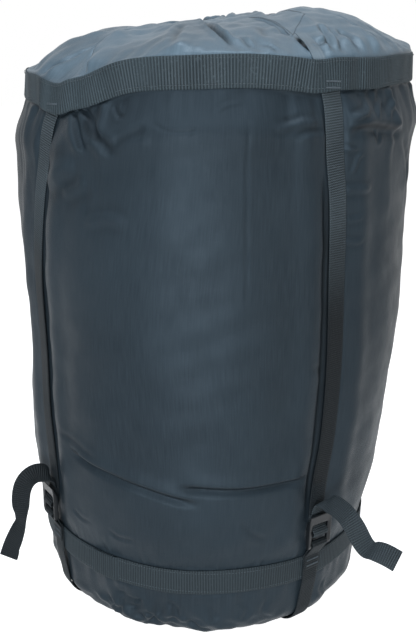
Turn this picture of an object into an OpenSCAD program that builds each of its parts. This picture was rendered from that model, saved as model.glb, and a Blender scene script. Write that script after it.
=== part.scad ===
// Compression sack, stuffed full: a drawstring throat above an upper webbing ring,
// four straps down to ladder locks on a lower webbing ring, and crossed straps under the base.
// Millimetres, +Z up, origin on the underside of the crossed base straps.
// Azimuth 0 faces the front (-Y) and grows towards +X.

/* [Sack] */
// Height of the middle of the lower webbing ring
lower_seam_z = 77; // [60:1:110]
// Mean height of the middle of the upper webbing ring
upper_seam_z = 541; // [440:1:640]
// Radius of the cloth at the lower ring
lower_r = 180; // [165:1:190]
// Radius of the cloth at the upper ring
upper_r = 190; // [180:1:200]
// How far the stuffed wall bellies out between the rings
belly = 12; // [4:1:20]
// How deep each strap presses into the wall
strap_dip = 6; // [2:0.5:9]
// Sideways lean of the wall at mid height
sway = 6; // [0:1:12]
// Thickness of the cloth with its lining
cloth_t = 0.8; // [0.6:0.1:1.2]

/* [Base] */
// Radius of the flat part of the base
base_flat_r = 146; // [120:1:150]
// Radius of the rounded bottom edge
edge_round = 30; // [22:1:34]

/* [Throat] */
// Height of the gathered cloth above the upper ring, away from the crown
throat_rise = 52; // [35:1:60]
// Extra height of the crown on the right
crown_rise = 25; // [10:1:35]
// Where the crown peaks along X
crown_x = 80; // [60:1:100]
// How far the crown spreads
crown_spread = 64; // [50:1:80]
// Depth of the hollow that the cord lock lies in
hollow_depth = 11; // [6:0.5:12]
// How far that hollow spreads
hollow_spread = 42; // [36:1:50]
// Middle of the drawn mouth along X
mouth_x = 29; // [20:1:38]
// Middle of the drawn mouth along Y
mouth_y = 45; // [36:1:54]
// Radius of the drawn mouth, to the middle of its hem
mouth_r = 36; // [32:1:42]
// Radius of the gathered hem that holds the drawcord
hem_r = 5; // [4:0.5:7]
// Radius of the channel inside the hem
channel_r = 2.3; // [2:0.1:2.8]
// How much higher the upper ring stands on the right than in the middle
ring_tilt = 10; // [0:1:14]
// How far the straps pull the upper ring down between its arches
ring_scallop = 4; // [0:1:8]

/* [Webbing] */
// Width of the ring webbing
ring_w = 26; // [20:1:32]
// Width of the strap webbing
strap_w = 19; // [16:1:20]
// Thickness of all webbing
web_t = 1.6; // [1.2:0.1:2]
// Azimuth of the front left strap; the others are set from it
first_strap_az = -56; // [-62:1:-50]
// Angle from the front left strap to the front right one
strap_step = 92; // [88:1:94]
// Width of the blank woven tab
tab_w = 15; // [10:1:20]
// Visible length of the blank woven tab
tab_l = 24; // [16:1:30]

/* [Ladder lock] */
// Height of the lock's hinge bar above the lower ring's middle
lock_rise = 30.5; // [29:0.5:40]
// Radius of the hinge bar that the base strap loops round
bar_r = 2; // [1.6:0.1:2.2]
// Radius of the middle bar that the strap turns over
turn_bar_r = 2.3; // [2:0.1:2.5]
// Height of the middle bar above the hinge bar
turn_bar_up = 13; // [12.5:0.5:15]
// Height of the pinch bar above the hinge bar
pinch_bar_up = 24; // [23.5:0.5:27]
// Radius of the pinch bar
pinch_bar_r = 2.2; // [1.8:0.1:2.4]
// Height of the lifting tab's lip above the hinge bar
lip_up = 33; // [30:0.5:38]
// Width of each side rail
rail_w = 4.4; // [3:0.1:6]
// Depth of the side rails, from back to front
rail_d = 5; // [4:0.1:6]

/* [Cord lock] */
// Outer radius of the barrel
barrel_r = 7.5; // [7:0.5:9]
// Length of the barrel
barrel_l = 23; // [22:0.5:28]
// Wall of the barrel
barrel_wall = 1.8; // [1.4:0.1:2.2]
// Radius of the cross bore that both cords pass through
cord_bore_r = 3.7; // [3.5:0.1:3.9]
// Press travel of the plunger
press_travel = 4; // [3:0.5:4.5]
// How far the plunger stands out of the barrel at rest
plunger_out = 7; // [6:0.5:9]
// Wire radius of the plunger's spring
spring_wire_r = 0.4; // [0.3:0.05:0.5]

/* [Drawcord] */
// Diameter of the drawcord
cord_d = 3; // [2.5:0.1:3.2]
// Diameter of the stored coil across the middle of its turns
coil_d = 33; // [30:1:36]
// Width of the coil's winding, from its inner turns to its outer ones
coil_w = 9; // [8:0.5:11]
// Height of the coil's winding
coil_h = 6.4; // [6:0.2:7]

/* [Fits] */
// Gap between neighbouring soft layers
soft_gap = 0.3; // [0.2:0.05:0.5]
// Running gap between moulded parts
run_gap = 0.3; // [0.2:0.05:0.4]

/* [Hidden] */

$fn = 48;
sides = 72; // facets round the sack
STRAPS = [first_strap_az, first_strap_az + strap_step, first_strap_az + 180,
    first_strap_az + strap_step + 180];

// ---- shape of the stuffed sack ----

function dir(az) = [sin(az), -cos(az), 0];
function away(a, b) = abs(((a - b + 900) % 360) - 180);
function ease(x) = x <= 0 ? 0 : x >= 1 ? 1 : x * x * (3 - 2 * x);
// 1 on a strap, falling to 0 away from it
function near_strap(az, spread) = let (gap = min([for (s = STRAPS) away(az, s)])) exp(-pow(gap / spread, 2));

function ring_z(az) = upper_seam_z + ring_tilt * sin(az)
    - ring_scallop * cos(4 * (az - STRAPS[1]));
function wall_z(az, t) = lower_seam_z + t * (ring_z(az) - lower_seam_z);
// radius of the cloth's outer face, t running from the lower ring to the upper one;
// the cloth lies straight under both rings and bellies out between them
ring_share = (ring_w / 2 + 1) / (upper_seam_z - lower_seam_z - ring_tilt - ring_scallop);
function wall_r(az, t) = let (s = max(0, min(1, (t - ring_share) / (1 - 2 * ring_share))))
    lower_r + (upper_r - lower_r) * s
    + belly * (1 - pow(abs(2 * s - 1), 6))
    + sway * exp(-pow((s - 0.48) / 0.17, 2)) * sin(az)
    - strap_dip * near_strap(az, 14) * ease(s / 0.15) * ease((1 - s) / 0.12);

mouth_at = [mouth_x, mouth_y];
hollow_at = [22, 121];
crown_y = -12.5; // where the crown peaks along Y
mouth_lift = 1.5; // height of the drawn mouth above the plain cloth of the throat
mouth_z = upper_seam_z + throat_rise + mouth_lift;
mouth_share = mouth_r / upper_r;
function throat_z(az, share) = let (
    rim = ring_z(az) + ring_w / 2,
    lean = (1 + sin(az)) / 2,
    rise = upper_seam_z + throat_rise - rim,
    x = throat_x(az, share),
    y = throat_y(az, share),
    crown = crown_rise * exp(-(pow(x - crown_x, 2) + pow(y - crown_y, 2)) / pow(crown_spread, 2)),
    seat = pow((1 - share) / (1 - mouth_share), 8.5 - 6.4 * lean),
    hollow = hollow_depth * exp(-(pow(x - hollow_at[0], 2) + pow(y - hollow_at[1], 2)) / pow(hollow_spread, 2)),
    free = rim + rise * pow(1 - pow(share, 5.5 - 0.5 * lean), 1.3 - 0.7 * lean)
        + (crown - hollow) * (1 - pow(share, 12)))
    free + (mouth_z - free) * seat;
function throat_x(az, share) = share * upper_r * sin(az) + mouth_at[0] * (1 - pow(share, 2));
function throat_y(az, share) = -share * upper_r * cos(az) + mouth_at[1] * (1 - pow(share, 2));

BELLY_S = [0, 0.025, 0.06, 0.11, 0.18, 0.28, 0.39, 0.5, 0.61, 0.72, 0.82, 0.89, 0.94, 0.975, 1];
WALL_T = concat([0], [for (s = BELLY_S) ring_share + s * (1 - 2 * ring_share)], [1]);
THROAT_S = [1, 0.97, 0.92, 0.85, 0.76, 0.65, 0.53, 0.41, 0.3, mouth_share];

// ---- meshes from rings of points ----

function az_of(i) = STRAPS[1] + (i + 0.5) * 360 / sides;
// the two triangles of each cell between two rings of n points; `turned` swaps the cells' diagonal
function cells(low, high, n, turned = false) = [for (i = [0:n - 1]) let (
    a = low * n + i, b = low * n + (i + 1) % n, c = high * n + i, d = high * n + (i + 1) % n)
    each turned ? [[a, b, c], [b, d, c]] : [[a, b, d], [a, d, c]]];
function skin(first, last, n, turned = false) = [for (j = [first:last - 1]) each cells(j, j + 1, n, turned)];
function reverse(list) = [for (i = [len(list) - 1:-1:0]) list[i]];
function inside_out(faces) = [for (f = faces) reverse(f)];

// a closed shell between two sheets, each given as rings from bottom to top
module ring_shell(outer, inner) {
    n = len(outer);
    polyhedron(points = [for (r = concat(outer, reverse(inner)), p = r) p], faces = inside_out(concat(
        skin(0, n - 1, sides), cells(n - 1, n, sides), skin(n, 2 * n - 1, sides, true),
        cells(2 * n - 1, 0, sides))));
}

function wall_ring(t, inset, z_shift) = [for (i = [0:sides - 1]) let (az = az_of(i))
    dir(az) * (wall_r(az, t) - inset) + [0, 0, wall_z(az, t) + z_shift]];
function throat_ring(share, inset) = [for (i = [0:sides - 1]) let (
    az = az_of(i), outward = dir(az) * inset)
    [throat_x(az, share) - outward[0], throat_y(az, share) - outward[1], throat_z(az, share) - inset]];
function collar_ring(inset, up) = [for (i = [0:sides - 1]) let (az = az_of(i))
    dir(az) * (upper_r - inset) + [0, 0, ring_z(az) + up]];

// ---- strips of webbing ----

function unit(v) = v / norm(v);
function along(path, i) = unit(path[min(i + 1, len(path) - 1)] - path[max(i - 1, 0)]);
function beside(path, i, by) = let (t = along(path, i)) path[i] + by * [-t[1], t[0]];
function thick_outline(path, t) = concat([for (i = [0:len(path) - 1]) beside(path, i, t / 2)],
    [for (i = [len(path) - 1:-1:0]) beside(path, i, -t / 2)]);
function arc_path(centre, r, from, to, steps) = [for (k = [0:steps]) let (a = from + (to - from) * k / steps)
    centre + r * [cos(a), sin(a)]];

// stands a drawing of [radius, height] on the azimuth az and gives it the width w
module on_azimuth(az, w) {
    rotate([0, 0, az - 90]) rotate([90, 0, 0])
        translate([0, 0, -w / 2]) linear_extrude(w) children();
}
module strip(az, path, w) {
    on_azimuth(az, w) polygon(thick_outline(path, web_t));
}

// ---- levels of the layers over the base and the wall ----

base_z = 2 * web_t + 2 * soft_gap; // the base cloth lies on two crossing straps
edge_z = base_z + edge_round;
ring_out_r = lower_r + soft_gap + web_t; // outside of the lower ring
over_ring_r = ring_out_r + soft_gap + web_t / 2; // middle of a strap over the lower ring
hinge_z = lower_seam_z + lock_rise;
function strap_t(az, z) = (z - lower_seam_z) / (ring_z(az) - lower_seam_z);
// radius of the wall under a strap, where the lock's own measures start
function lock_r(az) = max([for (up = [0:6:36]) wall_r(az, strap_t(az, hinge_z + up))]);

// distances out from the wall, at the lock
strap_gap = soft_gap + 0.3; // a flat strap stands this far off the faceted wall
run_mid = strap_gap + web_t / 2;
tail_mid = run_mid + web_t + soft_gap;
frame_mid = 6.4;
function at_lock(az, out, up) = [lock_r(az) + out, hinge_z + up];

loop_turn = [175, -5]; // where the base strap meets and leaves the hinge bar, in degrees
bight_turn = [-120, 75]; // where the strap meets and leaves the middle bar
over_pinch = 6.2; // the strap runs straight this far above the pinch bar

// ---- lower end: base, ring, fill ----

module base_panel() {
    color("#2c3034") rotate_extrude($fn = 120) polygon(concat(
        [[0, base_z]], arc_path([base_flat_r, edge_z], edge_round, -90, 0, 8),
        [[lower_r, lower_seam_z - ring_w / 2], [lower_r, lower_seam_z - soft_gap / 2],
            [lower_r - cloth_t, lower_seam_z - soft_gap / 2], [lower_r - cloth_t, lower_seam_z - ring_w / 2]],
        arc_path([base_flat_r, edge_z], edge_round - cloth_t, 0, -90, 8), [[0, base_z + cloth_t]]));
}

// one strap under the base, from the front lock to the one opposite it
module base_strap(az, steps_over) {
    lift = steps_over ? web_t + soft_gap : 0;
    side = function (a) let (hub = at_lock(a, frame_mid, 0), loop_r = bar_r + run_gap + 0.1 + web_t / 2)
        concat(arc_path([base_flat_r, edge_z], edge_z - web_t / 2, -90, -6, 8),
            [[over_ring_r, lower_seam_z - ring_w / 2 - 2], [over_ring_r, lower_seam_z + ring_w / 2 + 1],
                hub + [-loop_r - 1.2, -8]],
            arc_path(hub, loop_r, loop_turn[0], loop_turn[1], 10),
            [hub + [-loop_r + 1.6, -8], [over_ring_r + web_t + soft_gap, lower_seam_z + ring_w / 2 + 1],
                [over_ring_r + web_t + soft_gap, lower_seam_z + 2]]);
    centre = steps_over ? [[-30, web_t / 2], [-22, web_t / 2 + lift / 2], [-14, web_t / 2 + lift],
        [14, web_t / 2 + lift], [22, web_t / 2 + lift / 2], [30, web_t / 2]] : [[0, web_t / 2]];
    far = [for (p = reverse(side(az + 180))) [-p[0], p[1]]];
    strip(az, concat(far, centre, side(az)), strap_w);
}
module base_strap_left() { color("#1d2124") base_strap(STRAPS[0], false); }
module base_strap_right() { color("#1d2124") base_strap(STRAPS[1], true); }

module lower_ring() {
    lap_az = -34; // the ring's free end is sewn over itself at the front
    lap_angle = 8;
    color("#2b3638") translate([0, 0, lower_seam_z - ring_w / 2]) {
        rotate_extrude($fn = 120) translate([lower_r + soft_gap, 0]) square([web_t, ring_w]);
        rotate([0, 0, lap_az - 90]) rotate_extrude(angle = lap_angle, $fn = 120)
            translate([ring_out_r, 0]) square([web_t, ring_w]);
    }
}

module body_wall() {
    end_gap = function (t) t == 0 ? soft_gap / 2 : t == 1 ? -soft_gap / 2 : 0;
    color("#333d46") ring_shell([for (t = WALL_T) wall_ring(t, 0, end_gap(t))],
        [for (t = WALL_T) wall_ring(t, cloth_t, end_gap(t))]);
}

// the stuffed load, which gives the sack its form
fill_inset = cloth_t + soft_gap;
module packed_fill() {
    inset = fill_inset;
    floor_rings = [for (a = [-90:30:0]) [for (i = [0:sides - 1])
        dir(az_of(i)) * (base_flat_r + (edge_round - inset) * cos(a))
            + [0, 0, edge_z + (edge_round - inset) * sin(a)]]];
    low = [for (i = [0:sides - 1]) dir(az_of(i)) * (lower_r - inset - 0.5) + [0, 0, lower_seam_z - ring_w / 2]];
    walls = [for (t = [for (x = WALL_T) if (x < 1) x]) wall_ring(t, inset, 0)];
    tops = concat([collar_ring(inset, 0)], [for (s = THROAT_S) throat_ring(s, inset)]);
    rings = concat(floor_rings, [low], walls, tops);
    n = len(rings);
    last = (n - 1) * sides;
    color("#565a5e") polyhedron(
        points = concat([for (r = rings, p = r) p],
            [[0, 0, base_z + inset], [mouth_x, mouth_y, mouth_z - inset]]),
        faces = concat(inside_out(skin(0, n - 1, sides)),
            [for (i = [0:sides - 1]) [n * sides, i, (i + 1) % sides]],
            [for (i = [0:sides - 1]) [n * sides + 1, last + (i + 1) % sides, last + i]]));
}

// ---- straps ----

foot_up = 31; // the strap's turn starts this far above the hinge bar
tuck = 10; // length of a strap's end under the upper ring
module compression_strap(az) {
    foot = hinge_z + foot_up;
    path = concat([[wall_r(az, strap_t(az, foot)) + run_mid, foot]],
        [for (t = WALL_T) if (wall_z(az, t) > foot + 2 && t < 1) [wall_r(az, t) + run_mid, wall_z(az, t)]],
        [[upper_r + run_mid, ring_z(az) - ring_w / 2 + tuck]]);
    color("#1d2124") strip(az, path, strap_w);
}
module strap_fl() { compression_strap(STRAPS[0]); }
module strap_fr() { compression_strap(STRAPS[1]); }
module strap_br() { compression_strap(STRAPS[2]); }
module strap_bl() { compression_strap(STRAPS[3]); }

// where the strap ends its turn through the lock, and the tail starts
tail_root = [5.6, 38.2];
root_lead = unit([1.7, 3.6]); // the way it points there
root_gap = 0.45;

// the strap's turn through the lock: down behind it, over the middle bar and out behind the pinch bar
module bight(az) {
    hub = [frame_mid, turn_bar_up];
    turn_r = turn_bar_r + web_t / 2 + 0.5;
    path = concat([[run_mid, foot_up - soft_gap], [run_mid, turn_bar_up + 4], [run_mid + 0.8, turn_bar_up - 1.5]],
        arc_path(hub, turn_r, bight_turn[0], bight_turn[1], 9),
        [[4.4, turn_bar_up + 6], [3.5, pinch_bar_up - 2.8], [tail_mid, pinch_bar_up],
            [tail_mid, pinch_bar_up + over_pinch], tail_root - root_gap * root_lead - 4 * unit([0.6, 3.8]),
            tail_root - root_gap * root_lead]);
    color("#1d2124") strip(az, [for (p = path) at_lock(az, p[0], p[1])], strap_w);
}
module bight_fl() { bight(STRAPS[0]); }
module bight_fr() { bight(STRAPS[1]); }
module bight_br() { bight(STRAPS[2]); }
module bight_bl() { bight(STRAPS[3]); }

// tails, as [out from the wall, height above the hinge bar, to the lock's own side, roll about its length]
TAIL_FL = [[8, 43.5, 0, -30], [14, 46.6, -1, -56], [20, 47.8, -1, -61], [25.5, 47, -0.5, -57], [30.5, 44.4, 0, -52],
    [34.5, 40, 0.5, -50], [37.2, 34, 1, -50], [38.8, 26, 1.5, -50], [39.6, 17, 2, -42], [40.2, 10, 4, -20], [41.8, 4, 6.5, -8],
    [44.6, -3, 7.5, -18], [47.8, -13, 5.5, -30], [51.2, -25.5, 1.5, -37], [54.6, -37, 0.5, -47]];
TAIL_FR = [[9.2, 45.8, 0, 3], [18, 51.5, -2, 24], [27, 54.4, -6, 44], [38, 56.8, -9, 47], [50, 57.4, -12, 46],
    [59.5, 55, -14, 42], [66.6, 50, -14, 39], [72, 44, -13.5, 34], [77, 39.4, -13, 26], [83, 37.6, -13, 28],
    [91, 41, -14, 38], [101, 41.4, -11.5, 50], [111, 38.4, -7, 53]];
TAIL_BR = [[9, 46, 0, 0], [17, 53, 0, 0], [28, 56, 1, -8], [40, 53, 2, -18], [50, 44, 4, -26], [57, 32, 6, -22], [62, 19, 6, -14],
    [69, 8, 5, -24], [78, 2, 4, -30]];
TAIL_BL = [[9, 46, 0, 0], [16, 52, 0, 4], [26, 53, -1, 14], [36, 48, -2, 24], [43, 39, -3, 26], [47, 27, -4, 20], [48, 14, -4, 8],
    [46, 1, -5, 4], [45, -12, -7, 12], [48, -24, -9, 20]];
line_steps = 3; // steps from each listed point to the next
hem_edge = 0.5; // the folded hem's edge rises over this length

// a smooth line through points, with this many steps from each to the next
function eased(p, steps) = let (n = len(p), q = concat([2 * p[0] - p[1]], p, [2 * p[n - 1] - p[n - 2]]))
    concat([for (i = [1:n - 1], k = [0:steps - 1]) let (u = k / steps, a = q[i - 1], b = q[i], c = q[i + 1], d = q[i + 2])
        (2 * b + (c - a) * u + (2 * a - 5 * b + 4 * c - d) * u * u + (3 * b - a - 3 * c + d) * u * u * u) / 2], [p[n - 1]]);

// a strip swept along 3-D points, with its own width direction and depth to its inner face at each
module ribbon(centres, widths, inner, w, t) {
    n = len(centres);
    pts = [for (i = [0:n - 1]) let (
        l = unit(centres[min(i + 1, n - 1)] - centres[max(i - 1, 0)]),
        side = unit(widths[i] - l * (widths[i] * l)),
        face = cross(l, side))
        each [for (c = [[1, inner[i]], [-1, inner[i]], [-1, -t / 2], [1, -t / 2]])
            centres[i] + side * c[0] * w / 2 + face * c[1]]];
    // the two broad faces are cut along the same diagonal, so a twist keeps the strip's thickness
    polyhedron(points = pts, faces = concat(
        [for (i = [0:4:4 * n - 8]) each [[i, i + 1, i + 5], [i, i + 5, i + 4], [i + 1, i + 2, i + 6], [i + 1, i + 6, i + 5],
            [i + 2, i + 3, i + 6], [i + 3, i + 7, i + 6], [i + 3, i, i + 4], [i + 3, i + 4, i + 7]]],
        [[0, 3, 2], [0, 2, 1], [4 * n - 4, 4 * n - 3, 4 * n - 2], [4 * n - 4, 4 * n - 2, 4 * n - 1]]));
}
module tail(az, points) {
    start = tail_root + root_gap * root_lead;
    path = eased(concat([[start[0], start[1], 0, 0]], points), line_steps);
    across = [cos(az), sin(az), 0];
    place = [for (p = path) dir(az) * (lock_r(az) + p[0]) + across * p[2] + [0, 0, hinge_z + p[1]]];
    n = len(place);
    widths = [for (i = [0:n - 1]) let (
        l = unit(place[min(i + 1, n - 1)] - place[max(i - 1, 0)]), up = cross(l, across))
        across * cos(path[i][3]) + up * sin(path[i][3])];
    // the strap's end is folded back under the last listed stretch and sewn
    hem = n - 1 - line_steps;
    upto = [0:hem];
    beyond = [hem:n - 1];
    color("#1d2124") ribbon(
        concat([for (i = upto) place[i]],
            [for (i = beyond) i == hem ? place[i] + hem_edge * unit(place[i + 1] - place[i]) : place[i]]),
        concat([for (i = upto) widths[i]], [for (i = beyond) widths[i]]),
        concat([for (i = upto) web_t / 2], [for (i = beyond) 1.5 * web_t]), strap_w, web_t);
}
module tail_fl() { tail(STRAPS[0], TAIL_FL); }
module tail_fr() { tail(STRAPS[1], TAIL_FR); }
module tail_br() { tail(STRAPS[2], TAIL_BR); }
module tail_bl() { tail(STRAPS[3], TAIL_BL); }

// ---- ladder locks ----

module ladder_lock(az) {
    inner_w = strap_w + 2 * run_gap + 0.4;
    outer_w = inner_w + 2 * rail_w;
    hinge = [frame_mid, 0];
    lip = [frame_mid + 3.4, lip_up];
    color("#14181a") {
        // side rails, round at the hinge bar
        for (s = [-1, 1]) rotate([0, 0, az]) translate([s * (inner_w + rail_w) / 2, 0, 0]) rotate([0, 0, -az])
            on_azimuth(az, rail_w) {
                translate(at_lock(az, hinge[0], 0)) circle(r = rail_d / 2 + 0.3);
                polygon([for (p = [[-rail_d / 2, 0], [rail_d / 2, 0], [rail_d / 2 + 0.6, pinch_bar_up],
                    [rail_d / 2 + 1.6, pinch_bar_up + 3], [-rail_d / 2 + 1, pinch_bar_up + 3],
                    [-rail_d / 2 + 0.3, pinch_bar_up]]) at_lock(az, frame_mid + p[0], p[1])]);
            }
        // hinge bar, middle bar and pinch bar
        for (b = [[hinge, bar_r], [[frame_mid, turn_bar_up], turn_bar_r], [[frame_mid + 0.4, pinch_bar_up], pinch_bar_r]])
            on_azimuth(az, outer_w - 1) translate(at_lock(az, b[0][0], b[0][1])) circle(r = b[1]);
        // lifting tab, flared away from the strap
        on_azimuth(az, outer_w) polygon([for (p = [[frame_mid - 0.8, pinch_bar_up + 0.6],
            [frame_mid + 2.2, pinch_bar_up - 0.8], [lip[0] + 1, lip[1] - 1.2], [lip[0] + 0.4, lip[1]],
            [lip[0] - 0.9, lip[1]]]) at_lock(az, p[0], p[1])]);
    }
}
module ladder_lock_fl() { ladder_lock(STRAPS[0]); }
module ladder_lock_fr() { ladder_lock(STRAPS[1]); }
module ladder_lock_br() { ladder_lock(STRAPS[2]); }
module ladder_lock_bl() { ladder_lock(STRAPS[3]); }

// ---- top: throat, ring, tab, hem ----

module throat() {
    color("#6f8797") ring_shell(concat([collar_ring(0, soft_gap / 2)], [for (s = THROAT_S) throat_ring(s, 0)]),
        concat([collar_ring(cloth_t, soft_gap / 2)], [for (s = THROAT_S) throat_ring(s, cloth_t)]));
}

tab_az = 25;
tab_t = 0.6;
tab_tuck = 8; // length of the tab under the ring
// the ring lies on the cloth and over the tops of the straps and the end of the tab
ring_gap = soft_gap + 0.1;
function over(az, middle, flat, ramp) = 1 - ease((away(az, middle) - flat) / ramp);
function ring_face_r(az) = upper_r + ring_gap
    + max(concat([for (s = STRAPS) (strap_gap + web_t + soft_gap) * over(az, s, 4.5, 5.5)],
        [(tab_t + 2 * soft_gap) * over(az, tab_az, 4, 4)]));
module upper_ring() {
    ups = [-ring_w / 2, 0, ring_w / 2];
    face = function (out) [for (up = ups) [for (i = [0:sides - 1]) let (az = az_of(i))
        dir(az) * (ring_face_r(az) + out) + [0, 0, ring_z(az) + up]]];
    color("#2a3136") ring_shell(face(web_t), face(0));
}

// a blank folded tab, caught under the top edge of the upper ring and lying back on the throat
module woven_tab() {
    off = soft_gap + tab_t / 2;
    rim = ring_z(tab_az) + ring_w / 2;
    shares = [for (k = [0:3]) 0.98 - k * tab_l / upper_r / 4];
    color("#8d9ba3") on_azimuth(tab_az, tab_w) polygon(thick_outline(concat(
        [[upper_r + off, rim - tab_tuck], [upper_r + off, rim + 1]],
        [for (s = shares) [norm([throat_x(tab_az, s), throat_y(tab_az, s)]) + off + 0.2, throat_z(tab_az, s) + off + 0.2]]), tab_t));
}

hem_z = mouth_z + hem_r + soft_gap;
exit_az = [-140, -154]; // where the two ends of the drawcord leave the hem
exit_r = 2; // buttonhole that each end comes out of
module at_mouth(z) { translate([mouth_x, mouth_y, z]) children(); }
module mouth_hem() {
    color("#6f8797") at_mouth(hem_z) difference() {
        rotate_extrude() translate([mouth_r, 0]) circle(r = hem_r);
        rotate_extrude() translate([mouth_r, 0]) circle(r = channel_r);
        for (az = exit_az) rotate([0, 0, az - 90]) translate([mouth_r, 0, 0]) rotate([0, 90, 0])
            cylinder(r = exit_r, h = hem_r * 2);
    }
}
module drawcord_ring() {
    color("#15181a") at_mouth(hem_z) rotate_extrude() translate([mouth_r, 0]) circle(d = cord_d);
}

// ---- drawcord outside the hem ----

// from the hem, over the cloth behind it, through the cord lock and back over the hem to the coil
CORD_OUT = [[4.7, 74, 599.8], [-0.6, 80.3, 599.8], [-7, 87.2, 594.1], [-14, 94.5, 593.1], [-20.5, 102, 592.6],
    [-22.8, 109.5, 592], [-19.5, 116.6, 594.6], [-11.5, 120.3, 595], [-1, 120.75, 595], [20, 120.75, 595],
    [47, 120.75, 595], [57, 119.6, 592.8], [65.5, 115.2, 593.2], [71.4, 107.6, 594.4], [74, 98, 595.7],
    [73.8, 88, 596.8], [70.8, 79, 600.8], [64.8, 72.6, 604.6], [55.8, 69.2, 607.7], [46.4, 66.6, 604.6],
    [36.7, 64.1, 595.4]];
CORD_BACK = [[12.4, 79, 599.8], [8.9, 86.3, 599.8], [3.5, 93, 592.9], [-3.5, 97.4, 592], [-9.8, 101.2, 591.7],
    [-14.8, 105.8, 591.5], [-15.8, 111.2, 592.8], [-12, 115.6, 594.2], [-5.5, 117.1, 595], [2, 117.25, 595],
    [20, 117.25, 595], [47, 117.25, 595], [55.5, 116.3, 593.3], [62.4, 112.4, 593.2], [67.2, 105.8, 594.3],
    [69.4, 97, 595.6], [69.2, 88.4, 596.6], [66.6, 80.8, 601.2], [60.8, 75.6, 605], [53, 72.6, 608.1],
    [43, 70, 607.6], [32, 67, 603.2], [18.3, 62.1, 598.5]];
ring_step = 9; // length of cord between the rings of its tube

// the point at share u of the way from b to c, on a smooth curve through a, b, c and d
function spline(a, b, c, d, u) = 0.5 * (2 * b + (c - a) * u + (2 * a - 5 * b + 4 * c - d) * u * u
    + (3 * b - a - 3 * c + d) * u * u * u);
function smooth(p) = concat([for (i = [0:len(p) - 2]) let (
    steps = max(1, round(norm(p[i + 1] - p[i]) / ring_step)))
    for (k = [0:steps - 1]) spline(p[max(i - 1, 0)], p[i], p[i + 1], p[min(i + 2, len(p) - 1)], k / steps)],
    [p[len(p) - 1]]);
// a round tube through the given points; the rings' first corner lies across `over`
module tube(path, r, n, over) {
    last = len(path) - 1;
    pts = [for (i = [0:last]) let (
        l = unit(path[min(i + 1, last)] - path[max(i - 1, 0)]), side = unit(cross(l, over)), up = cross(side, l))
        each [for (k = [0:n - 1]) path[i] + r * (side * cos(k * 360 / n) + up * sin(k * 360 / n))]];
    polyhedron(points = concat(pts, [path[0], path[last]]), faces = concat(skin(0, last, n),
        [for (k = [0:n - 1]) [n * (last + 1), (k + 1) % n, k]],
        [for (k = [0:n - 1]) [n * (last + 1) + 1, last * n + k, last * n + (k + 1) % n]]));
}
module drawcord_free() {
    color("#15181a") {
        for (route = [CORD_OUT, CORD_BACK]) tube(smooth(route), cord_d / 2, 8, [0, 0, 1]);
    }
}
coil_z = mouth_z - fill_inset + soft_gap; // the coil lies on the load, inside the hem
module drawcord_coil() {
    color("#15181a") at_mouth(coil_z) cylinder(r = (coil_d + coil_w) / 2, h = coil_h);
}

// ---- cord lock, drawn with its barrel along X and the cords through it along Y ----

lock_over = 2; // height of the cross bore's middle above the plain cloth of the throat
// where the cross bore's middle lies
lock_at = [8, 119, upper_seam_z + throat_rise + lock_over];
lock_turn = 90; // the button points towards the mouth
bore_from_mouth = 8.5; // from the barrel's open end to the middle of the cross bore
module at_cord_lock() { translate(lock_at) rotate([0, 0, lock_turn]) children(); }
module along_x(x, r, l) { translate([x, 0, 0]) rotate([0, 90, 0]) cylinder(r = r, h = l); }
module cross_bore(x) { translate([x, barrel_r + 1, 0]) rotate([90, 0, 0]) cylinder(r = cord_bore_r, h = 2 * barrel_r + 2); }
module cross_slot(from, to) {
    cross_bore(from);
    cross_bore(to);
    translate([from, -barrel_r - 1, -cord_bore_r]) cube([to - from, 2 * barrel_r + 2, 2 * cord_bore_r]);
}
plunger_r = barrel_r - barrel_wall - run_gap;
plunger_end = cord_bore_r + 1.8; // inner end of the plunger, from the cross bore's middle
cavity_end = barrel_l - bore_from_mouth - barrel_wall;
module cord_lock_barrel() {
    color("#23282b") at_cord_lock() difference() {
        along_x(-bore_from_mouth, barrel_r, barrel_l);
        along_x(-bore_from_mouth - 1, barrel_r - barrel_wall, cavity_end + bore_from_mouth + 1);
        cross_bore(0);
    }
}
module cord_lock_plunger() {
    color("#2d3336") at_cord_lock() difference() {
        along_x(-bore_from_mouth - plunger_out, plunger_r, bore_from_mouth + plunger_out + plunger_end);
        cross_slot(-press_travel, 0);
    }
}
module cord_lock_spring() {
    turns = 4;
    steps = 10;
    r = plunger_r - 1.2;
    from = plunger_end + run_gap + spring_wire_r;
    to = cavity_end - run_gap - spring_wire_r;
    color("#9aa0a4") at_cord_lock() tube([for (k = [0:turns * steps])
        [from + (to - from) * k / (turns * steps), r * cos(k * 360 / steps), r * sin(k * 360 / steps)]],
        spring_wire_r, 6, [1, 0, 0]);
}

// ---- bartacks, the dense bars of thread that hold the strap ends ----

thread_h = 0.5;
tack_w = 1.4;
module bartack(az, r, z) {
    on_azimuth(az, strap_w - 4) translate([r, z]) square([thread_h, tack_w]);
}
module upper_bartacks() {
    color("#0e1113") for (az = STRAPS, up = [-9, -4]) bartack(az, ring_face_r(az) + web_t + 0.1, ring_z(az) + up);
}
module lower_bartacks() {
    color("#0e1113") for (az = STRAPS, up = [3, 9])
        bartack(az, over_ring_r + web_t * 1.5 + soft_gap + 0.05, lower_seam_z + up);
}

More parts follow.
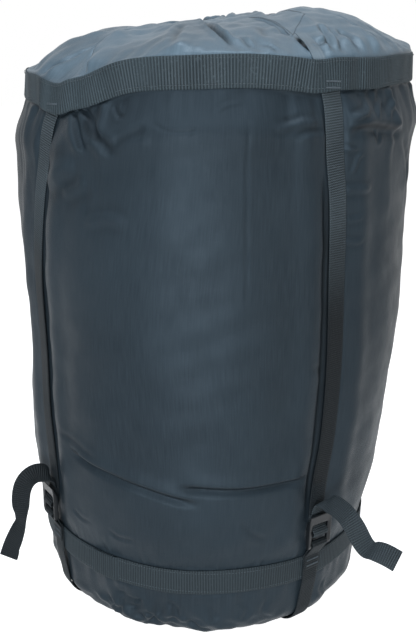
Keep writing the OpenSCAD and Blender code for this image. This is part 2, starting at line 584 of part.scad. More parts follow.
base_panel();
base_strap_left();
base_strap_right();
lower_ring();
body_wall();
packed_fill();
strap_fl();
strap_fr();
strap_br();
strap_bl();
throat();
upper_ring();
woven_tab();
mouth_hem();
drawcord_ring();
drawcord_free();
drawcord_coil();
cord_lock_barrel();
cord_lock_plunger();
cord_lock_spring();
ladder_lock_fl();
ladder_lock_fr();
ladder_lock_br();
ladder_lock_bl();
bight_fl();
bight_fr();
bight_br();
bight_bl();
tail_fl();
tail_fr();
tail_br();
tail_bl();
upper_bartacks();
lower_bartacks();
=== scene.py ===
import bpy
import math
import numpy as np
from mathutils import Matrix


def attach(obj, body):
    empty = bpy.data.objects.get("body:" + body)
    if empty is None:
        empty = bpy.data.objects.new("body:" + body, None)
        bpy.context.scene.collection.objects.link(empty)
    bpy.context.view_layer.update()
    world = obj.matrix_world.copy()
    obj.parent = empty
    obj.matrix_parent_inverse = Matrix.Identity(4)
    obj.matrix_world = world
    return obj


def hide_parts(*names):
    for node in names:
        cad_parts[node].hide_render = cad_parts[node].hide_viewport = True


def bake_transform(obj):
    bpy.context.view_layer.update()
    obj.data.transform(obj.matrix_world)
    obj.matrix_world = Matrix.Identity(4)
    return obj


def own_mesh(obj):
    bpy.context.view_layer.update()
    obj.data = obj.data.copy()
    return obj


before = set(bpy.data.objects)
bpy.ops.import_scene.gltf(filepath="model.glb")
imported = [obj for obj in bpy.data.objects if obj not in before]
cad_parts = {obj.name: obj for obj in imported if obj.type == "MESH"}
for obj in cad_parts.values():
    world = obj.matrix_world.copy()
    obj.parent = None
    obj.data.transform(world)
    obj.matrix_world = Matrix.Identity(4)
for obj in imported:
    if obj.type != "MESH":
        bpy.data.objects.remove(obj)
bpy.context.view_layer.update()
print("frame loaded")

mm = 0.001
strapAz = {"fl": -56, "fr": 36, "br": 124, "bl": 216}

# camera first
camera = {"place": (0, -0.850, 0.541), "pitch": 16.6, "roll": 1.23, "lens": 45.1}
bpy.ops.object.camera_add()
viewer = bpy.context.object
viewer.name = "viewer"
viewer.data.lens = camera["lens"]
viewer.data.sensor_width = 36
viewer.data.clip_start = 0.01
viewer.matrix_world = (Matrix.Translation(camera["place"])
                       @ Matrix.Rotation(math.radians(90 - camera["pitch"]), 4, "X")
                       @ Matrix.Rotation(math.radians(camera["roll"]), 4, "Z"))
bpy.context.scene.camera = viewer
print("camera placed")


# small tools; lengths are in millimetres until a mesh is laid
def deselectAll():
    if bpy.context.object and bpy.context.object.mode != "OBJECT":
        bpy.ops.object.mode_set(mode="OBJECT")
    bpy.ops.object.select_all(action="DESELECT")


def pick(piece):
    deselectAll()
    piece.select_set(True)
    bpy.context.view_layer.objects.active = piece


# a flat grid, with each point's share of the way across (u) and along (v)
def newSheet(name, across, along):
    deselectAll()
    bpy.ops.mesh.primitive_grid_add(x_subdivisions=across, y_subdivisions=along, size=2)
    sheet = bpy.context.object
    sheet.name = name
    sheet.data.name = name
    u, v = ((readPoints(sheet)[:, :2] + 1) / 2).T
    return sheet, u, v


def readPoints(piece):
    flat = np.empty(len(piece.data.vertices) * 3)
    piece.data.vertices.foreach_get("co", flat)
    return flat.reshape(-1, 3)


def layPoints(piece, points):
    piece.data.vertices.foreach_set("co", (np.asarray(points) * mm).ravel())
    piece.data.update()


def changeUv(piece, change):
    layer = piece.data.uv_layers[0]
    flat = np.empty(len(layer.data) * 2)
    layer.data.foreach_get("uv", flat)
    layer.data.foreach_set("uv", np.column_stack(change(*flat.reshape(-1, 2).T)).ravel())


def scaleUv(piece, wide, long, bend=np.copy):
    changeUv(piece, lambda u, v: (u * (wide * mm), bend(v) * (long * mm)))


# painted shade: how far each point's colour is darkened as shade, in folds, grooves and shaded pieces
def markPaintedShade(piece, values):
    layer = piece.data.attributes.new("paintedShade", "FLOAT", "POINT")
    layer.data.foreach_set("value", np.full(len(layer.data), np.clip(values, 0, 0.9), np.float32))


def editAll(piece, operator, **settings):
    pick(piece)
    bpy.ops.object.mode_set(mode="EDIT")
    bpy.ops.mesh.select_all(action="SELECT")
    operator(**settings)
    bpy.ops.object.mode_set(mode="OBJECT")


def weld(piece, gap=0.01):
    editAll(piece, bpy.ops.mesh.remove_doubles, threshold=gap * mm)


def closeEnds(piece):
    editAll(piece, bpy.ops.mesh.fill_holes, sides=0)


def turnOutward(piece):
    editAll(piece, bpy.ops.mesh.normals_make_consistent, inside=False)


def applyModifier(piece, kind, **settings):
    pick(piece)
    modifier = piece.modifiers.new(kind.title(), kind)
    for key, value in settings.items():
        setattr(modifier, key, value)
    bpy.ops.object.modifier_apply(modifier=modifier.name)


def smooth(piece, angle=None):
    pick(piece)
    if angle is None:
        bpy.ops.object.shade_smooth()
    else:
        bpy.ops.object.shade_smooth_by_angle(angle=math.radians(angle))


def joinPieces(pieces, name):
    deselectAll()
    for piece in pieces:
        piece.select_set(True)
    bpy.context.view_layer.objects.active = pieces[0]
    bpy.ops.object.join()
    joined = bpy.context.object
    joined.name = name
    joined.data.name = name
    return joined


# gives a piece its material, slot, body and the CAD nodes that it replaces
def finishPiece(piece, slot, body=None, nodes=()):
    piece.data.materials.clear()
    piece.data.materials.append(materials[slot])
    if body:
        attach(piece, body)
    if nodes:
        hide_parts(*nodes)


# thickness inwards, soft shading, then the same as any piece
def finishCloth(piece, thick, slot, body, nodes):
    applyModifier(piece, "SOLIDIFY", thickness=thick * mm, offset=-1)
    smooth(piece)
    finishPiece(piece, slot, body, nodes)


# 0 to 1 with soft ends
def ease(x):
    x = np.clip(x, 0, 1)
    return x * x * (3 - 2 * x)


# 1 at the middle, falling off on both sides
def bell(x, middle, spread, power=2):
    return np.exp(-((x - middle) / spread) ** power)


def unit(v):
    return v / np.maximum(np.linalg.norm(v, axis=-1, keepdims=True), 1e-9)


def sine(az):
    return np.sin(np.radians(az))


def cosine(az):
    return np.cos(np.radians(az))


# an angle brought between -180 and 180 degrees
def wrap(az):
    return (np.asarray(az, float) + 180) % 360 - 180


def away(a, b):
    return np.abs(wrap(a - b))


# azimuths start at the front and turn towards the right; outward and sideways from each
def direction(az):
    return np.stack([sine(az), -cosine(az), np.zeros_like(az * 1.0)], -1)


def across(az):
    return np.stack([cosine(az), sine(az), np.zeros_like(az * 1.0)], -1)


# points from azimuth, distance from the axis, height and shift sideways
def spots(az, r, z, x=0):
    r, z, x = (np.asarray(value, float)[..., None] for value in (r, z, x))
    return direction(az) * r + across(az) * x + np.array([0, 0, 1]) * z


# length run so far at each point of a path
def runAlong(path):
    return np.concatenate([[0], np.cumsum(np.linalg.norm(np.diff(path, axis=0), axis=1))])


def columnsAt(at, run, path):
    return np.column_stack([np.interp(at, run, path[:, k]) for k in range(path.shape[1])])


def strapGap(az):
    return np.min([away(az, s) for s in strapAz.values()], axis=0)


# smooth curve through a few points, sampled evenly
def curveThrough(points, step):
    p = np.asarray(points, float)
    p = np.vstack([2 * p[0] - p[1], p, 2 * p[-1] - p[-2]])
    out = []
    for i in range(1, len(p) - 2):
        a, b, c, d = p[i - 1:i + 3]
        u = np.linspace(0, 1, 24, endpoint=False)[:, None]
        out.append(0.5 * (2 * b + (c - a) * u + (2 * a - 5 * b + 4 * c - d) * u ** 2
                          + (3 * b - a - 3 * c + d) * u ** 3))
    return evenly(np.vstack(out + [p[-2:-1]]), step)


def evenly(path, step):
    run = runAlong(path[:, :3])
    count = max(2, int(round(run[-1] / step)) + 1)
    return columnsAt(np.linspace(0, run[-1], count), run, path)


# random soft waves between two lengths, with their headings between two angles
def waves(a, b, seed, count, shortest, longest, heading=(0, 180)):
    chance = np.random.default_rng(seed)
    total = np.zeros_like(a)
    for _ in range(count):
        length = chance.uniform(shortest, longest)
        turn = math.radians(chance.uniform(*heading))
        total += np.sin(2 * math.pi * (a * math.cos(turn) + b * math.sin(turn)) / length
                        + chance.uniform(0, 2 * math.pi))
    return total / math.sqrt(count / 2)


# waves that meet themselves after a full turn
def pleats(az, drift, seed, counts):
    chance = np.random.default_rng(seed)
    total = np.zeros_like(az)
    for n in counts:
        total += np.sin(n * np.radians(az) + chance.uniform(0, 6.28) + chance.uniform(-1, 1) * drift)
    return total / math.sqrt(len(counts) / 2)


# distance to a line on the cloth, with the side and the share of the way along it
def lineGap(a, b, line):
    line = curveThrough(line, 3.0)
    best = np.full_like(a, 1e9)
    side = np.zeros_like(a)
    along = np.zeros_like(a)
    steps = np.linalg.norm(np.diff(line, axis=0), axis=1)
    total, run = steps.sum(), 0
    for (a0, b0), (a1, b1), step in zip(line[:-1], line[1:], steps):
        da, db = a1 - a0, b1 - b0
        t = np.clip(((a - a0) * da + (b - b0) * db) / (step * step + 1e-9), 0, 1)
        ga, gb = a - a0 - t * da, b - b0 - t * db
        gap = np.hypot(ga, gb)
        near = gap < best
        best = np.where(near, gap, best)
        side = np.where(near, np.sign(da * gb - db * ga), side)
        along = np.where(near, (run + t * step) / total, along)
        run += step
    return best, side, along


# a pressed line with soft lips on both sides
def crease(a, b, line, width, depth):
    lip, fade = 0.45, 0.25
    gap, _, along = lineGap(a, b, line)
    strength = ease(along / fade) * ease((1 - along) / fade)
    return depth * strength * (lip * bell(gap, 2 * width, width) - bell(gap, 0, width))


# cloth rolled over a line: high and broad on its left, dropping sharply on its right
def fold(a, b, line, broad, sharp, rise, sink):
    fade = 0.2
    gap, side, along = lineGap(a, b, line)
    strength = ease(along / fade + 0.001) * ease((1 - along) / fade + 0.001)
    left = rise * bell(gap, 0, broad)
    right = rise * bell(gap, 0, sharp) - sink * bell(gap, 1.8 * sharp, sharp)
    # painted shade in the groove under the roll
    shade = np.where(side >= 0, 0, bell(gap, 0.9 * sharp, 0.55 * sharp)) * min(1, sink / 3)
    return strength * np.where(side >= 0, left, right), 0.85 * strength * shade


# all creases and folds of a cloth: how far they move it, and the painted shade laid in their grooves
def markCloth(a, b, creases, folds, shade, most):
    marks = sum(crease(a, b, *row) for row in creases)
    paintedShade = shade * np.clip(-marks, 0, most)
    for row in folds:
        lift, dark = fold(a, b, *row)
        marks, paintedShade = marks + lift, paintedShade + dark
    return marks, paintedShade


# lines given in azimuth and height, with the azimuth turned into length round the sack
def inArc(rows, radius):
    return [([(math.radians(az) * radius, z) for az, z in line], *rest) for line, *rest in rows]


# form of the stuffed sack
form = {"lowerZ": 77, "upperZ": 541, "lowerR": 180, "upperR": 190, "belly": 12, "dip": 6, "sway": 6,
        "tilt": 10, "scallop": 4, "ringW": 26, "rise": 52, "crown": 25, "crownAt": (80, -12.5),
        "crownSpread": 64, "hollow": 11, "hollowSpread": 42, "hollowAt": (22, 121),
        "mouthAt": (29, 45), "mouthR": 36, "mouthZ": 594.5}
wallHigh = form["upperZ"] - form["lowerZ"]
halfRing = form["ringW"] / 2
ringShare = (halfRing + 1) / (wallHigh - form["tilt"] - form["scallop"])


# height of the upper ring's middle, before it sags
def bandZ(az):
    return form["upperZ"] + form["tilt"] * sine(az) - form["scallop"] * cosine(4 * (az - strapAz["fr"]))


# the upper ring sags at the straps that pull on it and rides up between them
ringLift = curveThrough([(-181, 0), (-150, 0), (-110, 1.5), (-80, 4.5), (-62, 4.2), (-54, 0.5), (-48.5, -5.0),
                         (-45, -7.6), (-42, -8.0), (-38.5, -5.2), (-33.5, -3.6), (-29, -1.2), (-23, 1.7),
                         (-12, 3.5), (5, 5.4), (17.5, 4.8), (24.5, 2.8), (28, 3.4), (33, 5.4), (44, 6.0),
                         (70, 4.5), (100, 1.5), (130, 0), (181, 0)], 0.8)
# how far each strap wanders from its own azimuth, as (height, degrees)
strapDrift = {"fl": [(100, 0), (172, 0.3), (230, -2.5), (300, -4.3), (345, -3.4), (386, -0.8), (434, 2.9),
                     (461, 5.2), (508, 8.9), (560, 11.8)],
              "fr": [(100, 0), (172, 0), (230, 1.2), (338, -0.2), (410, -1.2), (446, -2.1), (471, -3.2),
                     (528, -5.4), (560, -6.6)],
              "br": [(100, 0), (172, 0), (350, 1), (560, -1)],
              "bl": [(100, 0), (172, 0), (350, -1), (560, 1)]}
strapDrift = {key: curveThrough(line, 4.0) for key, line in strapDrift.items()}


def ringZ(az):
    return bandZ(az) + np.interp(wrap(az), ringLift[:, 0], ringLift[:, 1])


def strapAt(key, z):
    return strapAz[key] + np.interp(z, strapDrift[key][:, 0], strapDrift[key][:, 1])


def driftGap(az, z):
    return np.min([away(az, strapAt(key, z)) for key in strapAz], axis=0)


def wallZ(az, t):
    return form["lowerZ"] + t * (ringZ(az) - form["lowerZ"])


# the stuffed rim is pulled in at the left and pushed out at the right
def rimShift(az):
    return 4.5 * bell(wrap(az), 88, 24) - 8.0 * bell(wrap(az), -88, 20)


# radius of the wall at a share of its height
def wallR(az, t):
    s = np.clip((t - ringShare) / (1 - 2 * ringShare), 0, 1)
    near = bell(strapGap(az), 0, 14)
    return (form["lowerR"] + (form["upperR"] - form["lowerR"]) * s
            + form["belly"] * (1 - np.abs(2 * s - 1) ** 6)
            + form["sway"] * bell(s, 0.48, 0.17) * sine(az) + rimShift(az) * ease((s - 0.84) / 0.16)
            - form["dip"] * near * ease(s / 0.15) * ease((1 - s) / 0.12))


def mound(x, y, middle, spread):
    return np.exp(-((x - middle[0]) ** 2 + (y - middle[1]) ** 2) / spread ** 2)


# points of the top cloth, at a share of the way out from the middle to the upper ring
def throatPoint(az, share):
    r = share * form["upperR"] + share ** 6 * rimShift(az)
    x = r * sine(az) + form["mouthAt"][0] * (1 - share ** 2)
    y = -r * cosine(az) + form["mouthAt"][1] * (1 - share ** 2)
    rim = ringZ(az) + halfRing
    lean = (1 + sine(az)) / 2
    rise = form["upperZ"] + form["rise"] - rim
    crown = form["crown"] * mound(x, y, form["crownAt"], form["crownSpread"])
    seat = np.clip((1 - share) / (1 - form["mouthR"] / form["upperR"]), 0, None) ** (8.5 - 6.4 * lean)
    hollow = form["hollow"] * mound(x, y, form["hollowAt"], form["hollowSpread"])
    free = (rim + rise * np.clip(1 - share ** (5.5 - 0.5 * lean), 0, None) ** (1.3 - 0.7 * lean)
            + (crown - hollow) * (1 - share ** 12))
    return np.stack([x, y, free + (form["mouthZ"] - free) * seat], -1)


# 1 over a flat stretch round an azimuth, ramping to 0 beside it
def over(az, middle, flat, ramp):
    return 1 - ease((away(az, middle) - flat) / ramp)


webT = 1.6
strapW = 19
atRingZ = 540  # height where the straps go under the upper ring


# radius of the face that the upper ring lies on: over the strap ends and the tab
def ringFaceR(az):
    straps = np.max([2.5 * over(az, float(strapAt(key, atRingZ)), 4.5, 5.5) for key in strapAz], axis=0)
    return form["upperR"] + rimShift(az) + 0.4 + np.maximum(straps, 1.2 * over(az, 25, 4, 4))


# materials
# gives a socket its value, colour or link
def feed(tree, socket, value):
    if isinstance(value, tuple):
        socket.default_value = (*value, 1)
    elif isinstance(value, (int, float)):
        socket.default_value = value
    else:
        tree.links.new(value, socket)


def newGroup(name, values, outputs):
    group = bpy.data.node_groups.new(name, "ShaderNodeTree")
    group.interface.new_socket("Vector", in_out="INPUT", socket_type="NodeSocketVector")
    for label, value in values.items():
        group.interface.new_socket(label, in_out="INPUT", socket_type="NodeSocketFloat").default_value = value
    for label in outputs:
        group.interface.new_socket(label, in_out="OUTPUT", socket_type="NodeSocketFloat")
    return group, group.nodes.new("NodeGroupInput"), group.nodes.new("NodeGroupOutput")


def mathNode(tree, operation, *values, clamp=False):
    node = tree.nodes.new("ShaderNodeMath")
    node.operation = operation
    node.use_clamp = clamp
    for socket, value in zip(node.inputs, values):
        feed(tree, socket, value)
    return node.outputs[0]


def noiseNode(tree, vector, scale, detail):
    node = tree.nodes.new("ShaderNodeTexNoise")
    node.inputs["Detail"].default_value = detail
    feed(tree, node.inputs["Scale"], scale)
    tree.links.new(vector, node.inputs["Vector"])
    return node.outputs["Fac"]


# angles of the threads along both axes, from their pitches in metres
def threadAngles(group, start, *pitches):
    split = group.nodes.new("ShaderNodeSeparateXYZ")
    group.links.new(start.outputs["Vector"], split.inputs[0])
    return [mathNode(group, "DIVIDE", mathNode(group, "MULTIPLY", axis, 2 * math.pi), start.outputs[pitch])
            for axis, pitch in zip(split.outputs, pitches)]


# plain weave: two crossing sets of threads
def makeWeaveGroup():
    group, start, end = newGroup("clothWeave", {"Warp pitch": 0.0004, "Weft pitch": 0.0004, "Slub": 0.3},
                                 ("Height", "Threads"))
    angles = threadAngles(group, start, "Warp pitch", "Weft pitch")
    warp, weft = (mathNode(group, "SINE", angle) for angle in angles)
    weave = mathNode(group, "MULTIPLY_ADD", mathNode(group, "MULTIPLY", warp, weft), 0.5, 0.5)
    stretch = group.nodes.new("ShaderNodeMapping")
    stretch.inputs["Scale"].default_value = (900, 40, 1)
    group.links.new(start.outputs["Vector"], stretch.inputs["Vector"])
    slub = noiseNode(group, stretch.outputs[0], 1.0, 2)
    height = mathNode(group, "MULTIPLY_ADD", slub, start.outputs["Slub"], weave)
    group.links.new(height, end.inputs["Height"])
    group.links.new(slub, end.inputs["Threads"])
    return group


# ribs across a webbing with fine warp threads along it
def makeRibGroup():
    group, start, end = newGroup("ribWeave", {"Rib pitch": 0.0017, "Warp pitch": 0.0011, "Zigzag": 0.25},
                                 ("Height", "Crest"))
    angle, turn = threadAngles(group, start, "Warp pitch", "Rib pitch")
    warp = mathNode(group, "SINE", angle)
    skew = mathNode(group, "MULTIPLY", warp, start.outputs["Zigzag"])
    rib = mathNode(group, "COSINE", mathNode(group, "ADD", turn, mathNode(group, "MULTIPLY", skew, 2)))
    crest = mathNode(group, "MULTIPLY_ADD", rib, 0.5, 0.5)
    height = mathNode(group, "MULTIPLY_ADD", warp, 0.18, crest)
    group.links.new(height, end.inputs["Height"])
    group.links.new(crest, end.inputs["Crest"])
    return group


# soft blotches of dust, rub and dye for any finish
def makeToneGroup():
    group, start, end = newGroup("toneDrift", {"Broad scale": 6.0, "Fine scale": 90.0}, ("Broad", "Fine"))
    for label, detail in (("Broad", 3), ("Fine", 4)):
        noise = noiseNode(group, start.outputs["Vector"], start.outputs[label + " scale"], detail)
        group.links.new(noise, end.inputs[label])
    return group


weaveGroup, ribGroup, toneGroup = makeWeaveGroup(), makeRibGroup(), makeToneGroup()


# a group fed with "Object" or "UV" coordinates
def groupNode(tree, group, coordinates, **values):
    node = tree.nodes.new("ShaderNodeGroup")
    node.node_tree = group
    tree.links.new(tree.nodes.new("ShaderNodeTexCoord").outputs[coordinates], node.inputs["Vector"])
    for key, value in values.items():
        node.inputs[key.replace("_", " ")].default_value = value
    return node


def mixColours(tree, share, first, second):
    node = tree.nodes.new("ShaderNodeMix")
    node.data_type = "RGBA"
    for socket, value in ((node.inputs["Factor"], share), (node.inputs[6], first), (node.inputs[7], second)):
        feed(tree, socket, value)
    return node.outputs[2]


def rangeNode(tree, value, low, high, toLow, toHigh):
    node = tree.nodes.new("ShaderNodeMapRange")
    for socket, number in zip(node.inputs, (value, low, high, toLow, toHigh)):
        feed(tree, socket, number)
    return node.outputs[0]


def startMaterial(name, look, broad, fine):
    material = bpy.data.materials.new(name)
    material.use_nodes = True
    tree = material.node_tree
    shader = tree.nodes["Principled BSDF"]
    for label, key in (("Specular IOR Level", "specular"), ("Specular Tint", "specTint"),
                       ("Sheen Weight", "sheen"), ("Sheen Roughness", "sheenRough"),
                       ("Sheen Tint", "sheenTint"), ("Metallic", "metal")):
        if key in look:
            feed(tree, shader.inputs[label], look[key])
    tone = groupNode(tree, toneGroup, "Object", Broad_scale=broad, Fine_scale=fine)
    return material, tree, shader, tone.outputs["Broad"], tone.outputs["Fine"]


# colour, bumps and a roughness that drifts round its middle value
def dress(tree, shader, colour, normal, drift, middle, less, more):
    tree.links.new(colour, shader.inputs["Base Color"])
    tree.links.new(normal, shader.inputs["Normal"])
    rough = rangeNode(tree, drift, 0.3, 0.7, middle - less, middle + more)
    tree.links.new(rough, shader.inputs["Roughness"])


# painted shade: mixes the colour towards a dark one by the painted shade attribute
def darkenPaintedShade(tree, colour, dark):
    paintedShade = tree.nodes.new("ShaderNodeAttribute")
    paintedShade.attribute_name = "paintedShade"
    return mixColours(tree, paintedShade.outputs["Fac"], colour, dark)


def bumpNode(tree, height, distance, strength=1.0, under=None):
    bump = tree.nodes.new("ShaderNodeBump")
    bump.inputs["Distance"].default_value = distance
    bump.inputs["Strength"].default_value = strength
    tree.links.new(height, bump.inputs["Height"])
    if under is not None:
        tree.links.new(under, bump.inputs["Normal"])
    return bump.outputs[0]


def clothMaterial(name, look):
    material, tree, shader, broad, fine = startMaterial(name, look, look["broad"], look["fine"])
    weave = groupNode(tree, weaveGroup, "UV", Warp_pitch=look["pitch"], Weft_pitch=look["pitch"] * 1.15,
                      Slub=0.5)
    colour = mixColours(tree, rangeNode(tree, broad, 0.35, 0.65, 0, 1), look["deep"], look["pale"])
    threads = rangeNode(tree, weave.outputs["Threads"], 0.3, 0.7, 0, look["threadShare"])
    colour = mixColours(tree, threads, colour, look["thread"])
    # painted shade: darkens towards a near-black copy of the deep colour by the painted shade attribute
    colour = darkenPaintedShade(tree, colour, tuple(0.15 * c for c in look["deep"]))
    soft = bumpNode(tree, fine, look["crumple"])
    normal = bumpNode(tree, weave.outputs["Height"], look["weaveDepth"], 0.6, soft)
    dress(tree, shader, colour, normal, fine, look["rough"], 0.05, 0.05)
    return material


def webbingMaterial(name, look):
    material, tree, shader, broad, fine = startMaterial(name, look, 18, 420)
    ribs = groupNode(tree, ribGroup, "UV", Rib_pitch=look["rib"], Warp_pitch=look["warp"],
                     Zigzag=look["zigzag"])
    # rib valleys painted darker than the crests, as painted shade between the ribs
    colour = mixColours(tree, ribs.outputs["Crest"], look["valleyShade"], look["crest"])
    colour = mixColours(tree, rangeNode(tree, fine, 0.58, 0.8, 0, 0.5), colour, look["fuzz"])
    colour = mixColours(tree, rangeNode(tree, broad, 0.4, 0.7, 0, 0.35), colour, look["crest"])
    # painted shade: darkens towards the valley shade colour by the painted shade attribute
    colour = darkenPaintedShade(tree, colour, look["valleyShade"])
    soft = bumpNode(tree, fine, 0.00012)
    normal = bumpNode(tree, ribs.outputs["Height"], look["depth"], 0.8, soft)
    dress(tree, shader, colour, normal, broad, look["rough"], 0.07, 0.07)
    return material


def plasticMaterial(name, look):
    material, tree, shader, broad, fine = startMaterial(name, look, 60, 900)
    shape = tree.nodes.new("ShaderNodeNewGeometry")
    # paler on sharp edges, thinned by a noise: partly edge wear, partly a painted highlight along the edges
    wearAndHighlight = mathNode(tree, "MULTIPLY", rangeNode(tree, shape.outputs["Pointiness"], 0.64, 0.76, 0, 1),
                    rangeNode(tree, broad, 0.4, 0.6, 0.35, 1), clamp=True)
    colour = mixColours(tree, wearAndHighlight, look["colour"], look["wearAndHighlightColour"])
    dress(tree, shader, colour, bumpNode(tree, fine, look["grain"]), fine, look["rough"], 0.06, 0.08)
    return material


def metalMaterial(name, look):
    material, tree, shader, broad, fine = startMaterial(name, look, 80, 1500)
    colour = mixColours(tree, broad, look["colour"], look["dull"])
    dress(tree, shader, colour, bumpNode(tree, fine, look["grain"]), fine, look["rough"], 0.08, 0.1)
    return material


webbingSheen = {"sheen": 0.02, "sheenRough": 0.5, "sheenTint": (0.7, 0.85, 0.95)}
looks = {
    "sack_cloth": {"deep": (0.007, 0.0105, 0.0135), "pale": (0.011, 0.0163, 0.0208),
                   "thread": (0.03, 0.039, 0.046), "threadShare": 0.2, "rough": 0.47, "specular": 0.11,
                   "specTint": (0.66, 0.84, 1.0), "broad": 5, "fine": 55, "pitch": 0.0005,
                   "crumple": 0.0004, "weaveDepth": 0.00005},
    # the same cloth as the sack, painted about four times paler: painted light on the top that faces the
    # lamps
    "throat_cloth": {"deep": (0.027, 0.042, 0.054), "pale": (0.05, 0.074, 0.093),
                     "thread": (0.10, 0.14, 0.17), "threadShare": 0.2, "rough": 0.42, "specular": 0.26,
                     "specTint": (0.75, 0.88, 1.0), "broad": 9, "fine": 70, "pitch": 0.0005,
                     "crumple": 0.0006, "weaveDepth": 0.00005},
    "stuffed_load": {"deep": (0.03, 0.032, 0.034), "pale": (0.06, 0.062, 0.066), "thread": (0.1, 0.1, 0.1),
                     "threadShare": 0.2, "rough": 0.75, "specular": 0.2, "broad": 12, "fine": 60,
                     "pitch": 0.0007, "crumple": 0.0015, "weaveDepth": 0.00008},
    "woven_tab": {"deep": (0.035, 0.05, 0.062), "pale": (0.055, 0.077, 0.094), "thread": (0.15, 0.18, 0.2),
                  "threadShare": 0.35, "rough": 0.6, "specular": 0.3, "broad": 40, "fine": 200,
                  "pitch": 0.0008, "crumple": 0.0002, "weaveDepth": 0.0001},
    # valley colours are painted shade between the ribs
    "ring_webbing": {"valleyShade": (0.007, 0.010, 0.012), "crest": (0.030, 0.041, 0.047),
                     "fuzz": (0.06, 0.08, 0.09), "rough": 0.62, "specular": 0.09, "rib": 0.0026,
                     "warp": 0.0014, "zigzag": 0.1, "depth": 0.0003, **webbingSheen},
    "strap_webbing": {"valleyShade": (0.0015, 0.002, 0.0025), "crest": (0.044, 0.056, 0.063),
                      "fuzz": (0.07, 0.085, 0.095), "rough": 0.6, "specular": 0.08, "rib": 0.0021,
                      "warp": 0.0019, "zigzag": 0.6, "depth": 0.0003, **webbingSheen},
    # the pale edge colour is partly wear, partly a painted highlight along the edges
    "black_plastic": {"colour": (0.004, 0.005, 0.006), "wearAndHighlightColour": (0.16, 0.14, 0.12), "rough": 0.34,
                      "specular": 0.22, "grain": 0.00003},
    "spring_steel": {"colour": (0.62, 0.64, 0.66), "dull": (0.4, 0.41, 0.42), "rough": 0.3, "metal": 1.0,
                     "grain": 0.00002},
    "drawcord": {"deep": (0.008, 0.010, 0.011), "pale": (0.016, 0.019, 0.022), "thread": (0.06, 0.07, 0.08),
                 "threadShare": 0.5, "rough": 0.7, "specular": 0.3, "broad": 40, "fine": 300,
                 "pitch": 0.0011, "crumple": 0.0001, "weaveDepth": 0.0003},
    "thread": {"deep": (0.012, 0.017, 0.021), "pale": (0.024, 0.032, 0.038), "thread": (0.08, 0.10, 0.115),
               "threadShare": 0.4, "rough": 0.65, "specular": 0.3, "broad": 60, "fine": 700,
               "pitch": 0.0005, "crumple": 0.00005, "weaveDepth": 0.0001},
}
makers = {"ring_webbing": webbingMaterial, "strap_webbing": webbingMaterial, "black_plastic": plasticMaterial,
          "spring_steel": metalMaterial}
materials = {label: makers.get(label, clothMaterial)(label, look) for label, look in looks.items()}
print("materials made")


# drawcord: out of the hem, through the lock, into the coil and back
drawcord = {"thick": 3, "around": 12, "step": 0.75, "bumps": 0.035, "bumpPitch": 5.0, "coilMiddle": (29, 45),
            "lowZ": 595.4, "highZ": 598.5, "outer": 20.6, "inner": 13.6, "start": 68, "inTurns": 2.0,
            "outTurns": 1.35}
cordOut = [[4.7, 74, 599.8], [-0.6, 80.3, 599.8], [-7, 87.2, 594.1], [-14, 94.5, 593.1], [-20.5, 102, 592.6],
           [-22.8, 109.5, 592], [-19.5, 116.6, 594.6], [-11.5, 120.3, 595], [-1, 120.75, 595],
           [20, 120.75, 595], [47, 120.75, 595], [57, 119.6, 592.8], [65.5, 115.2, 593.2],
           [71.4, 107.6, 594.4], [74, 98, 595.7], [73.8, 88, 596.8], [70.8, 79, 600.8], [64.8, 72.6, 604.6],
           [55.8, 69.2, 607.7], [46.4, 66.6, 604.6]]
cordBack = [[12.4, 79, 599.8], [8.9, 86.3, 599.8], [3.5, 93, 592.9], [-3.5, 97.4, 592], [-9.8, 101.2, 591.7],
            [-14.8, 105.8, 591.5], [-15.8, 111.2, 592.8], [-12, 115.6, 594.2], [-5.5, 117.1, 595],
            [2, 117.25, 595], [20, 117.25, 595], [47, 117.25, 595], [55.5, 116.3, 593.3],
            [62.4, 112.4, 593.2], [67.2, 105.8, 594.3], [69.4, 97, 595.6], [69.2, 88.4, 596.6],
            [66.6, 80.8, 601.2], [60.8, 75.6, 605], [53, 72.6, 608.1], [43, 70, 607.6], [32, 67, 603.2]]


# two lower turns inwards, an S through the middle, then back outwards on top
def coilPath():
    middle = np.array(drawcord["coilMiddle"])
    outer, inner, low, high = (drawcord[k] for k in ("outer", "inner", "lowZ", "highZ"))
    half, halfSteps = inner / 2, 9

    def spiral(start, turns, way, first, last, z):
        steps = int(turns * 24)
        for share in np.arange(steps + 1) / (turns * 24):
            r = first + (last - first) * share
            points.append([*middle + r * heading(start + way * 360 * turns * share), z])

    def heading(angle):
        return np.array([cosine(angle), sine(angle)])

    points = []
    spiral(drawcord["start"], drawcord["inTurns"], 1, outer, inner, low)
    turn = drawcord["start"] + 360 * drawcord["inTurns"]
    for side in (1, -1):  # the S: first half keeps turning one way, the second the other
        hub = middle + side * half * heading(turn)
        for k in range(1, halfSteps):
            share = (k / halfSteps + (1 - side) / 2) / 2
            spot = hub + half * heading(turn + side * 180 * k / halfSteps)
            points.append([*spot, low + (high - low) * ease(share)])
        if side > 0:
            points.append([*middle, (low + high) / 2])
    spiral(turn + 180, drawcord["outTurns"], -1, inner, outer - 0.4, high)
    return points


cordPath = curveThrough(cordOut + coilPath()[1:] + cordBack[::-1], drawcord["step"])


